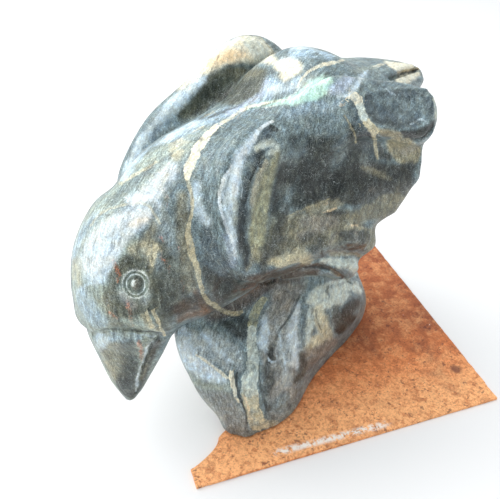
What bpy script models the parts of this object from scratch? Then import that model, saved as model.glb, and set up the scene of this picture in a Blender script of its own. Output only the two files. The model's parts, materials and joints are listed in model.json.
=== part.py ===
"""A carved stone crow on its rusted steel base plate, modelled in metres with +Z up.

The crow faces -Y with its head hanging, its left wing is on +X, and the rock under it is the same stone.
The origin is the middle of the base plate's underside.
"""

import math

import bmesh
import bpy
import numpy as np
from mathutils import Matrix, Vector

# The carving: everything on it is a share of its length, from the front of the crown to the tail's tip.
CARVING_LENGTH = 0.320
GRID_STEPS = 320.0  # the carver's grid counts this many steps along the length, 1 mm each at full size
STEP = CARVING_LENGTH / GRID_STEPS
VOXEL = 0.0018  # how finely the joined masses are skinned before they are carved
CARVING_TRIANGLES = 8800

# The base plate.
PLATE_LENGTH = 0.196  # the cut edge beside the crow's left side, without the ear
PLATE_DEPTH = 0.230
PLATE_THICKNESS = 0.002
PLATE_TURN = math.radians(-23.9)  # how far the plate is turned from the crow's own axis
EAR_REACH = 0.0345  # how far the ear at the front corner runs on past the plate
EAR_WIDTH = 0.014
SEAT_GAP = 0.0003  # between the stone's sawn underside and the plate

# The carver's grid starts on the crow's middle plane, at this place from the middle of the plate.
GRID_PLACE = Vector((-0.0115, 0.032, PLATE_THICKNESS + SEAT_GAP))

# Round masses, as rows of sections: (centre x, y, z), half width, rise, drop and squareness (2 is an ellipse).
BODY = (
    (0, 34, 192, 24, 12, 12, 2.0),
    (0, 14, 184, 36, 28, 26, 2.0),
    (0, -8, 170, 44, 49, 44, 2.1),
    (0, -26, 166, 48, 64, 58, 2.1),
    (0, -46, 164, 49, 72, 66, 2.1),
    (0, -66, 162, 49, 69, 66, 2.2),
    (0, -90, 162, 48, 53, 68, 2.4),
    (2, -120, 158, 46, 54, 66, 2.3),
    (3, -145, 154, 45, 57, 62, 2.2),
    (4, -165, 150, 43, 56, 56, 2.1),
    (5, -182, 148, 38, 50, 50, 2.0),
    (5, -196, 146, 32, 44, 44, 2.0),
)
TAIL = (
    (0, -10, 186, 36, 30, 26, 2.2),
    (0, 18, 187, 32, 24, 22, 2.2),
    (0, 40, 186, 25, 19, 17, 2.1),
    (0, 60, 183, 17, 15, 11, 2.0),
    (1, 76, 182, 10, 9, 8, 2.0),
    (1, 87, 182, 4, 3, 3, 2.0),
)
HEAD = (
    (-50, 0, 12, 9, 12, 2.0),
    (-42, 0, 26, 19, 26, 2.0),
    (-20, 0, 37, 31, 38, 2.0),
    (4, 0, 39, 35, 38, 2.0),
    (20, 0, 35, 33, 34, 2.0),
    (31, 1, 30, 29, 30, 2.0),
    (40, 1, 20, 20, 24, 2.0),
)
BEAK = (
    (22, 0, 28, 29, 29, 2.0),
    (34, 2, 26, 27, 27, 2.0),
    (52, 4, 20, 20, 22, 1.9),
    (70, 6, 13, 13, 15, 1.8),
    (84, 7, 7, 6, 9, 1.8),
    (93, 7, 2, 2, 3, 1.8),
)
HEAD_MIDDLE = Vector((6, -193, 142))
HEAD_AXIS = Vector((0.11, -0.13, -1.0)).normalized()  # from the crown down the beak
HEAD_SIDE = Vector((0.86, -0.27, 0.06))  # towards the left eye

# Wings, as outlines (x, z) at stations along y: inner top, top edge, outer edge, under it, hollow, middle,
# flare, lip, under the lip, inner underside, inside.
NEAR_WING = (
    (-159, ((43, 190), (45, 191), (47, 189), (48, 184), (48, 176), (47, 168), (47, 163), (45, 160), (43, 162),
            (41, 170), (41, 180))),
    (-152, ((34, 205), (39, 204), (44, 198), (48, 188), (50, 174), (50, 160), (49, 150), (46, 144), (41, 146),
            (34, 160), (30, 185))),
    (-140, ((26, 214), (34, 212), (43, 203), (49, 190), (52, 172), (53, 155), (54, 143), (50, 136), (44, 136),
            (26, 150), (20, 185))),
    (-120, ((22, 216), (31, 214), (41, 205), (47, 190), (49, 172), (53, 156), (57, 145), (55, 136), (48, 129),
            (28, 128), (12, 180))),
    (-100, ((20, 216), (30, 214), (39, 206), (43, 192), (45, 176), (51, 158), (58, 144), (57, 133), (50, 120),
            (32, 104), (12, 170))),
    (-80, ((22, 222), (32, 218), (40, 208), (44, 193), (46, 177), (51, 159), (59, 143), (59, 129), (52, 112),
           (32, 95), (12, 160))),
    (-60, ((28, 229), (42, 226), (55, 213), (55, 202), (48, 184), (51, 162), (59, 142), (60, 126), (52, 106),
           (34, 90), (12, 150))),
    (-40, ((32, 224), (46, 222), (60, 206), (60, 196), (49, 182), (51, 162), (58, 138), (60, 118), (52, 98),
           (36, 86), (12, 150))),
    (-22, ((34, 217), (48, 217), (65, 198), (61, 188), (50, 176), (53, 156), (57, 136), (59, 114), (50, 95),
           (34, 98), (12, 150))),
    (-6, ((36, 213), (50, 213), (67, 195), (64, 181), (54, 167), (57, 149), (58, 133), (54, 118), (42, 110),
          (26, 124), (14, 165))),
    (8, ((42, 209), (54, 210), (66, 196), (65, 181), (58, 168), (60, 152), (58, 139), (51, 130), (40, 135),
         (32, 152), (28, 180))),
    (17, ((49, 205), (56, 207), (62, 198), (62, 184), (59, 174), (59, 165), (56, 157), (51, 155), (47, 164),
          (44, 180), (45, 196))),
)
# The far wing's outline goes the same way: inner top, top edge, outer edge, under it and round.
FAR_WING = (
    (-166, ((-38, 172), (-40, 174), (-43, 173), (-45, 168), (-45, 160), (-43, 154), (-39, 156), (-36, 164))),
    (-154, ((-38, 184), (-44, 187), (-50, 182), (-54, 168), (-54, 150), (-46, 136), (-34, 140), (-28, 164))),
    (-132, ((-38, 200), (-47, 205), (-54, 198), (-59, 176), (-59, 150), (-50, 124), (-30, 124), (-20, 165))),
    (-97, ((-40, 207), (-50, 216), (-59, 209), (-64, 180), (-64, 150), (-54, 114), (-30, 105), (-14, 160))),
    (-70, ((-42, 214), (-54, 227), (-64, 219), (-68, 185), (-67, 150), (-56, 110), (-30, 95), (-12, 160))),
    (-44, ((-46, 217), (-60, 228), (-69, 220), (-71, 190), (-68, 150), (-56, 112), (-30, 98), (-12, 160))),
    (-22, ((-47, 212), (-61, 221), (-70, 214), (-71, 190), (-66, 155), (-52, 122), (-30, 110), (-14, 165))),
    (-7, ((-48, 202), (-59, 208), (-67, 202), (-69, 188), (-62, 160), (-48, 140), (-32, 140), (-26, 170))),
    (4, ((-50, 189), (-57, 193), (-62, 189), (-63, 180), (-58, 168), (-50, 162), (-42, 164), (-42, 178))),
)
# The rock, as outlines (x, y) at heights: from the front corner back along the crow's left side and round.
ROCK = (
    (-16, ((56, -148), (65, -126), (63, -106), (52, -78), (45, -50), (40, -24), (27, 10), (-2, 24), (-28, 10),
           (-40, -34), (-40, -76), (-14, -102), (18, -134), (43, -155))),
    (12, ((55, -150), (64, -128), (63, -106), (53, -80), (47, -50), (43, -22), (31, 10), (-2, 25), (-30, 10),
          (-42, -36), (-42, -82), (-18, -108), (14, -138), (38, -159))),
    (30, ((52, -152), (61, -131), (61, -108), (54, -80), (50, -48), (46, -22), (32, 4), (-2, 20), (-30, 8),
          (-44, -38), (-44, -88), (-22, -118), (8, -148), (30, -166))),
    (52, ((47, -155), (56, -134), (56, -108), (50, -80), (48, -52), (44, -30), (28, -6), (-2, 8), (-28, 0),
          (-44, -40), (-44, -94), (-26, -126), (4, -156), (26, -171))),
    (72, ((31, -158), (38, -138), (41, -112), (41, -82), (42, -56), (37, -38), (22, -22), (-2, -8), (-26, -12),
          (-40, -44), (-42, -98), (-28, -132), (0, -162), (22, -174))),
    (92, ((16, -154), (20, -138), (24, -114), (28, -86), (32, -60), (28, -44), (18, -32), (-2, -24), (-24, -28),
          (-36, -52), (-40, -100), (-28, -136), (-4, -160), (16, -168))),
    (124, ((18, -146), (22, -134), (26, -114), (28, -86), (28, -62), (24, -48), (14, -40), (-2, -36), (-20, -40),
           (-30, -56), (-34, -100), (-26, -134), (-2, -152), (12, -156))),
)
LOBE = (
    (-84, ((44, 112), (50, 113), (53, 110), (50, 105), (44, 105))),
    (-70, ((38, 116), (52, 116), (59, 109), (52, 99), (38, 98))),
    (-55, ((36, 112), (52, 111), (60, 102), (53, 88), (38, 84))),
    (-42, ((34, 104), (48, 103), (56, 94), (52, 81), (38, 78))),
    (-33, ((38, 92), (44, 92), (48, 87), (46, 80), (40, 80))),
)

# Tool strokes: where the tool is drawn (x, y, z on the grid), its radius, and how much it raises or cuts.
STROKES = (
    # the near wing's front ridge, and the flute between it and the breast
    (((51, -145, 138), (51, -155, 160), (48, -161, 188), (43, -157, 205), (37, -144, 214), (30, -122, 218)), 9, 3.5),
    (((46, -156, 136), (43, -168, 160), (40, -172, 190), (33, -168, 208)), 11, -4),
    # the hollow in the wing's face, and the lip along its lower edge
    (((48, -118, 176), (46, -92, 178), (48, -66, 172)), 27, -6),
    (((54, -138, 138), (57, -120, 140), (59, -98, 138), (60, -78, 135), (61, -58, 128), (60, -38, 118)), 9, 3),
    # the wing tip's flat, the edge under it and the recess below that
    (((52, -50, 218), (56, -30, 210), (58, -8, 205)), 10, -2.5),
    (((60, -57, 209), (63, -42, 204), (66, -20, 196), (67, 2, 188)), 7, 3),
    (((52, -52, 190), (52, -34, 184), (53, -12, 174), (55, 8, 166)), 12, -5),
    (((56, 12, 146), (54, -10, 150), (50, -32, 158)), 9, 2.5),
    # where the breast and the wing's underside meet the rock
    (((14, -174, 90), (22, -160, 90), (27, -146, 88), (30, -130, 90), (32, -114, 95), (33, -98, 98),
      (34, -84, 99)), 9, -6),
    # the rock's front corner
    (((56, -148, 2), (53, -150, 25), (48, -154, 45), (43, -157, 58)), 8, 2.5),
    # the valleys beside the back's ridge
    (((-30, -146, 190), (-32, -120, 198), (-36, -90, 203), (-40, -60, 207), (-42, -30, 205)), 13, -6),
    # the far wing's hollow, front ridge, lower lip and the recess under its tip
    (((-66, -100, 176), (-70, -62, 176)), 34, -6),
    (((-54, -140, 146), (-57, -138, 168), (-52, -138, 184)), 9, 2),
    (((-52, -132, 126), (-56, -97, 114), (-57, -62, 110), (-54, -30, 118)), 9, 3),
    (((-72, -44, 200), (-70, -24, 194), (-66, -8, 186)), 10, -4),
    (((-12, -172, 92), (-26, -146, 92), (-36, -120, 96), (-39, -92, 98), (-37, -56, 98)), 9, -5),
    # the groove along the tail, on either side of its ridge
    (((17, 40, 198), (13, 56, 194), (8, 74, 188), (6, 86, 184)), 5, -4),
    (((-17, 40, 198), (-13, 56, 194), (-8, 74, 188), (-5, 86, 184)), 5, -4),
)

# Strokes on the head, in its own measures (to the side, down the beak, to the crown), drawn on both sides.
HEAD_STROKES = (
    # the crease at the beak's base and the brow over it
    (((0, 29, 30), (14, 27, 28), (27, 19, 22), (34, 17, 12), (35, 20, 4), (33, 26, -6), (22, 29, -20)), 5, -2),
    (((0, 20, 34), (14, 17, 31), (27, 8, 25), (37, 4, 13), (38, 8, 2)), 9, 0.9),
    # the line of the mouth
    (((33, 26, 0), (24, 40, 1), (18, 54, 2), (12, 71, 4), (5, 86, 5)), 3.5, -2),
)
EYE = (36.5, -15, 9)  # the eye's middle on the head, in the same measures
EYE_RINGS = ((7.8, 2.2, 0.7), (5.6, 2.2, -1.2), (0.0, 5.0, 1.3))  # radius, width and height of each ring


def smooth_rows(rows, per_span):
    """Rows of equal length, with a smooth curve of per_span steps drawn between each two."""
    table = np.array(rows, float)
    ends = np.vstack([2 * table[0] - table[1], table, 2 * table[-1] - table[-2]])
    drawn = []
    for i in range(1, len(ends) - 2):
        before, start, end, after = ends[i - 1 : i + 3]
        for t in np.arange(per_span) / per_span:
            drawn.append(
                0.5 * (2 * start + (end - before) * t
                       + (2 * before - 5 * start + 4 * end - after) * t ** 2
                       + (3 * start - before - 3 * end + after) * t ** 3)
            )
    drawn.append(ends[-2])
    return np.array(drawn)


def smooth_ring(corners, per_span):
    """A closed smooth curve through the corners."""
    wrapped = list(corners[-2:]) + list(corners) + list(corners[:2])
    drawn = smooth_rows(wrapped, per_span)
    return drawn[2 * per_span : (2 + len(corners)) * per_span]


def add_rings(mesh, rings):
    """Closes a run of equal rings of points into one solid skin."""
    verts = [[mesh.verts.new(p) for p in ring] for ring in rings]
    faces = []
    for low, high in zip(verts, verts[1:]):
        for i in range(len(low)):
            j = (i + 1) % len(low)
            faces.append(mesh.faces.new((low[i], low[j], high[j], high[i])))
    faces.append(mesh.faces.new(verts[0][::-1]))
    faces.append(mesh.faces.new(verts[-1]))
    bmesh.ops.recalc_face_normals(mesh, faces=faces)


def section(centre, side, top, width, rise, drop, power, count=40):
    """The points of one section, round its centre."""
    angles = np.linspace(0, 2 * math.pi, count, endpoint=False)
    c, s = np.cos(angles), np.sin(angles)
    across = width * np.sign(c) * np.abs(c) ** (2 / power)
    up = np.where(s > 0, rise, drop) * np.sign(s) * np.abs(s) ** (2 / power)
    return [centre + side * a + top * u for a, u in zip(across, up)]


def add_round_mass(mesh, rows):
    """A mass of round sections, each standing across the crow's length."""
    side, top = Vector((1, 0, 0)), Vector((0, 0, 1))
    add_rings(mesh, [
        section(Vector((x, y, z)), side, top, *shape)
        for x, y, z, *shape in smooth_rows(rows, 5)
    ])


def add_head_mass(mesh, rows):
    """The head or the beak: sections down the head's axis, each set off towards the crown."""
    side = (HEAD_SIDE - HEAD_AXIS * HEAD_SIDE.dot(HEAD_AXIS)).normalized()
    crown = HEAD_AXIS.cross(side)
    add_rings(mesh, [
        section(HEAD_MIDDLE + HEAD_AXIS * along + crown * offset, side, crown, *shape)
        for along, offset, *shape in smooth_rows(rows, 5)
    ])


def add_outlined_mass(mesh, stations, place):
    """A mass with a drawn outline at each station; place turns (station, u, v) into a point."""
    rows = [[at, *np.ravel(smooth_ring(outline, 4))] for at, outline in stations]
    add_rings(mesh, [
        [place(row[0], u, v) for u, v in row[1:].reshape(-1, 2)]
        for row in smooth_rows(rows, 5)
    ])


def on_head(side, along, crown):
    """A place on the grid, from the head's own measures: to its side, down the beak and to the crown."""
    across = (HEAD_SIDE - HEAD_AXIS * HEAD_SIDE.dot(HEAD_AXIS)).normalized()
    return HEAD_MIDDLE + across * side + HEAD_AXIS * along + HEAD_AXIS.cross(across) * crown


def stroke_weights(points, path, radius):
    """How strongly a tool drawn along the path, with a soft edge at radius, touches each point."""
    drawn = smooth_rows(path, 8)
    nearest = np.full(len(points), 1e9)
    for spot in drawn:
        nearest = np.minimum(nearest, np.linalg.norm(points - spot, axis=1))
    return np.clip(1 - (nearest / radius) ** 2, 0, 1) ** 2


def carve(obj, strokes):
    """Raises (above 0) or cuts (below 0) the surface under each stroke, along its own normals."""
    mesh = obj.data
    points = np.empty(len(mesh.vertices) * 3)
    normals = np.empty(len(mesh.vertices) * 3)
    for path, radius, height in strokes:
        mesh.vertices.foreach_get("co", points)
        mesh.vertex_normals.foreach_get("vector", normals)
        weights = stroke_weights(points.reshape(-1, 3), path, radius)
        points += normals * np.repeat(weights * height, 3)
        mesh.vertices.foreach_set("co", points)
        mesh.update()


def carve_eye(obj, side, rings):
    """Raises and cuts the rings of an eye, looking out to the side (1 or -1) it is on."""
    mesh = obj.data
    points = np.empty(len(mesh.vertices) * 3)
    mesh.vertices.foreach_get("co", points)
    middle = on_head(side * EYE[0], EYE[1], EYE[2])
    out = (on_head(side * 0.85, -0.3, 0.43) - HEAD_MIDDLE).normalized()
    away = points.reshape(-1, 3) - middle
    depth = away @ np.array(out)
    spread = np.linalg.norm(away - depth[:, None] * out, axis=1)
    near = np.abs(depth) < 12
    for radius, width, height in rings:
        lift = height * near * np.clip(1 - ((spread - radius) / width) ** 2, 0, 1) ** 2
        points += np.ravel(lift[:, None] * np.array(out))
    mesh.vertices.foreach_set("co", points)
    mesh.update()


def apply_modifiers(obj):
    """Keeps what the modifiers show as the object's own mesh."""
    shown = obj.evaluated_get(bpy.context.evaluated_depsgraph_get())
    obj.data = bpy.data.meshes.new_from_object(shown)
    obj.modifiers.clear()


def soften(obj, rounds):
    smooth = obj.modifiers.new("Soften", "SMOOTH")
    smooth.factor = 0.5
    smooth.iterations = rounds
    apply_modifiers(obj)


def saw_flat(obj):
    """Cuts the stone off level at the grid's zero height, and closes the cut."""
    mesh = bmesh.new()
    mesh.from_mesh(obj.data)
    bmesh.ops.bisect_plane(
        mesh, geom=mesh.verts[:] + mesh.edges[:] + mesh.faces[:], plane_co=(0, 0, 0),
        plane_no=(0, 0, -1), clear_outer=True,
    )
    bmesh.ops.holes_fill(mesh, edges=[e for e in mesh.edges if e.is_boundary])
    bmesh.ops.triangulate(mesh, faces=mesh.faces)
    mesh.to_mesh(obj.data)
    mesh.free()


def new_object(name, mesh, material):
    data = bpy.data.meshes.new(name)
    mesh.to_mesh(data)
    mesh.free()
    obj = bpy.data.objects.new(name, data)
    bpy.context.collection.objects.link(obj)
    data.materials.append(material)
    return obj


def build_carving(material):
    """The crow and its rock: masses joined in one skin, carved, sawn flat and thinned."""
    mesh = bmesh.new()
    add_round_mass(mesh, BODY)
    add_round_mass(mesh, TAIL)
    add_head_mass(mesh, HEAD)
    add_head_mass(mesh, BEAK)
    for stations in (NEAR_WING, FAR_WING, LOBE):
        add_outlined_mass(mesh, stations, lambda y, x, z: (x, y, z))
    add_outlined_mass(mesh, ROCK, lambda z, x, y: (x, y, z))
    carving = new_object("crow_carving", mesh, material)
    skin = carving.modifiers.new("One skin", "REMESH")
    skin.mode = "VOXEL"
    skin.voxel_size = VOXEL / STEP
    apply_modifiers(carving)
    soften(carving, 14)
    carve(carving, STROKES)
    soften(carving, 3)
    for side in (1, -1):
        carve(carving, [
            ([on_head(side * a, b, c) for a, b, c in path], radius, height)
            for path, radius, height in HEAD_STROKES
        ])
        carve_eye(carving, side, EYE_RINGS)
    soften(carving, 1)
    saw_flat(carving)
    carving.data.transform(Matrix.Translation(GRID_PLACE) @ Matrix.Scale(STEP, 4))
    fewer = carving.modifiers.new("Fewer faces", "DECIMATE")
    fewer.ratio = CARVING_TRIANGLES / len(carving.data.polygons)
    apply_modifiers(carving)
    carving.data.shade_smooth()


def build_plate(material):
    """The plate, with an ear at one corner left by the two bays cut beside it."""
    length, depth, reach = PLATE_LENGTH, PLATE_DEPTH, EAR_REACH
    outline = [(0, 0), (length + reach, 0), (length + reach, EAR_WIDTH)]
    bays = (
        ((1.0, 0.42), (0.87, 0.465), (0.695, 0.555), (0.48, 0.69), (0.36, 0.80), (0.303, 0.88)),
        ((0.267, 0.96), (0.18, 1.03), (0.06, 1.106), (0.0, 1.16)),
    )
    for bay in bays:
        outline += [(length + reach * out, reach * along) for out, along in smooth_rows(bay, 4)]
    outline += [(length, depth), (0, depth)]
    turn = Matrix.Rotation(PLATE_TURN, 3, "Z")
    mesh = bmesh.new()
    low = [mesh.verts.new(turn @ Vector((depth / 2 - t, length / 2 - s, 0))) for s, t in outline]
    face = mesh.faces.new(low)
    lift = bmesh.ops.extrude_face_region(mesh, geom=[face])
    raised = [v for v in lift["geom"] if isinstance(v, bmesh.types.BMVert)]
    bmesh.ops.translate(mesh, vec=(0, 0, PLATE_THICKNESS), verts=raised)
    bmesh.ops.recalc_face_normals(mesh, faces=mesh.faces)
    new_object("base_plate", mesh, material)


def plain_material(name, colour, roughness, metallic=0.0):
    material = bpy.data.materials.new(name)
    material.use_nodes = True
    shader = material.node_tree.nodes["Principled BSDF"]
    shader.inputs["Base Color"].default_value = (*colour, 1)
    shader.inputs["Roughness"].default_value = roughness
    shader.inputs["Metallic"].default_value = metallic
    return material


def main():
    for old in list(bpy.data.objects):
        bpy.data.objects.remove(old)
    build_carving(plain_material("soapstone", (0.16, 0.19, 0.19), 0.4))
    build_plate(plain_material("rusted steel", (0.42, 0.17, 0.07), 0.85))


main()
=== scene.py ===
"""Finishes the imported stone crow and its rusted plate: veined stone, rust, floor, light and camera."""

import json
import math

import bmesh
import bpy
import numpy as np
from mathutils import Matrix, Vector, noise
from mathutils.bvhtree import BVHTree

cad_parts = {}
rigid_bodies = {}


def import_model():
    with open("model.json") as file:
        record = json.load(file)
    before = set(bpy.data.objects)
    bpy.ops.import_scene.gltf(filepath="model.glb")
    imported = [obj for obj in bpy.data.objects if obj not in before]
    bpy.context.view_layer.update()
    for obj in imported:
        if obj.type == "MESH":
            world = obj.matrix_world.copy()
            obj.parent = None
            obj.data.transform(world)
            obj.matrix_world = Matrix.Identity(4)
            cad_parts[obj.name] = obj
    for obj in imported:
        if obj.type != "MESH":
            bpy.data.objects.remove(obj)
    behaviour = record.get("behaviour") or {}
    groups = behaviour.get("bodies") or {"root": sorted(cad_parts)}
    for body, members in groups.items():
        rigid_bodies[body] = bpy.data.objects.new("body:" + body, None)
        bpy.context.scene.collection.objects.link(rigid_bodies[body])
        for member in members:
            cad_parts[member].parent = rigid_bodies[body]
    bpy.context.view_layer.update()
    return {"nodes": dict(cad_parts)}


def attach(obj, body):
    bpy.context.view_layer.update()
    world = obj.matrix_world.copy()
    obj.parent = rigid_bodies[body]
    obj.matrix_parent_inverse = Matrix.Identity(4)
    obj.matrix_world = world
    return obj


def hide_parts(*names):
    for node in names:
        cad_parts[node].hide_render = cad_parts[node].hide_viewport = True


bl_info = {
    "name": "Stone Crow Finish",
    "version": (1, 0, 0),
    "blender": (4, 5, 0),
    "location": "3D View > Sidebar > Crow",
    "description": "Carves, veins and polishes a stone crow, rusts its plate and lights them",
    "category": "Object",
}

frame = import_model()

# The carver's grid: 1 mm steps from the crow's middle plane, level with the top of the plate.
GRID_PLACE = Vector((-0.0115, 0.032, 0.0023))
GRID_STEP = 0.001

# The head's own measures on that grid: its middle, the line down the beak, and the way to its left side.
HEAD_MIDDLE = Vector((6, -193, 142))
HEAD_AXIS = Vector((0.11, -0.13, -1.0)).normalized()
HEAD_SIDE = Vector((0.86, -0.27, 0.06))

# The picture that the marks are drawn on, as the camera sees it.
PICTURE_WIDTH = 500.0
PICTURE_HEIGHT = 499.0
SENSOR_WIDTH = 36.0  # mm, what the camera's focal length is given for

# Stone colours, as seen on a screen.
TINTS = {
    "slate": (108, 124, 128),
    "deep slate": (74, 86, 92),
    "charcoal": (54, 60, 58),
    "umber": (66, 69, 67),
    "black green": (38, 43, 42),
    "ink": (34, 38, 38),
    "blue": (156, 178, 192),
    "lavender": (172, 186, 204),
    "sky": (196, 214, 224),
    "white": (206, 217, 222),
    "grey": (136, 138, 134),
    "pale grey": (164, 168, 164),
    "rock grey": (166, 177, 178),
    "warm grey": (128, 124, 116),
    "green grey": (146, 158, 150),
    "pale green": (188, 198, 190),
    "mint": (186, 224, 210),
    "moss": (144, 146, 120),
    "olive": (122, 120, 102),
    "dark olive": (84, 88, 78),
    "khaki": (158, 153, 128),
    "straw": (192, 186, 158),
    "cream": (226, 222, 200),
    "warm": (232, 206, 166),
    "ochre": (196, 168, 116),
    "brown": (112, 86, 66),
    "dark brown": (70, 58, 49),
}

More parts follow.
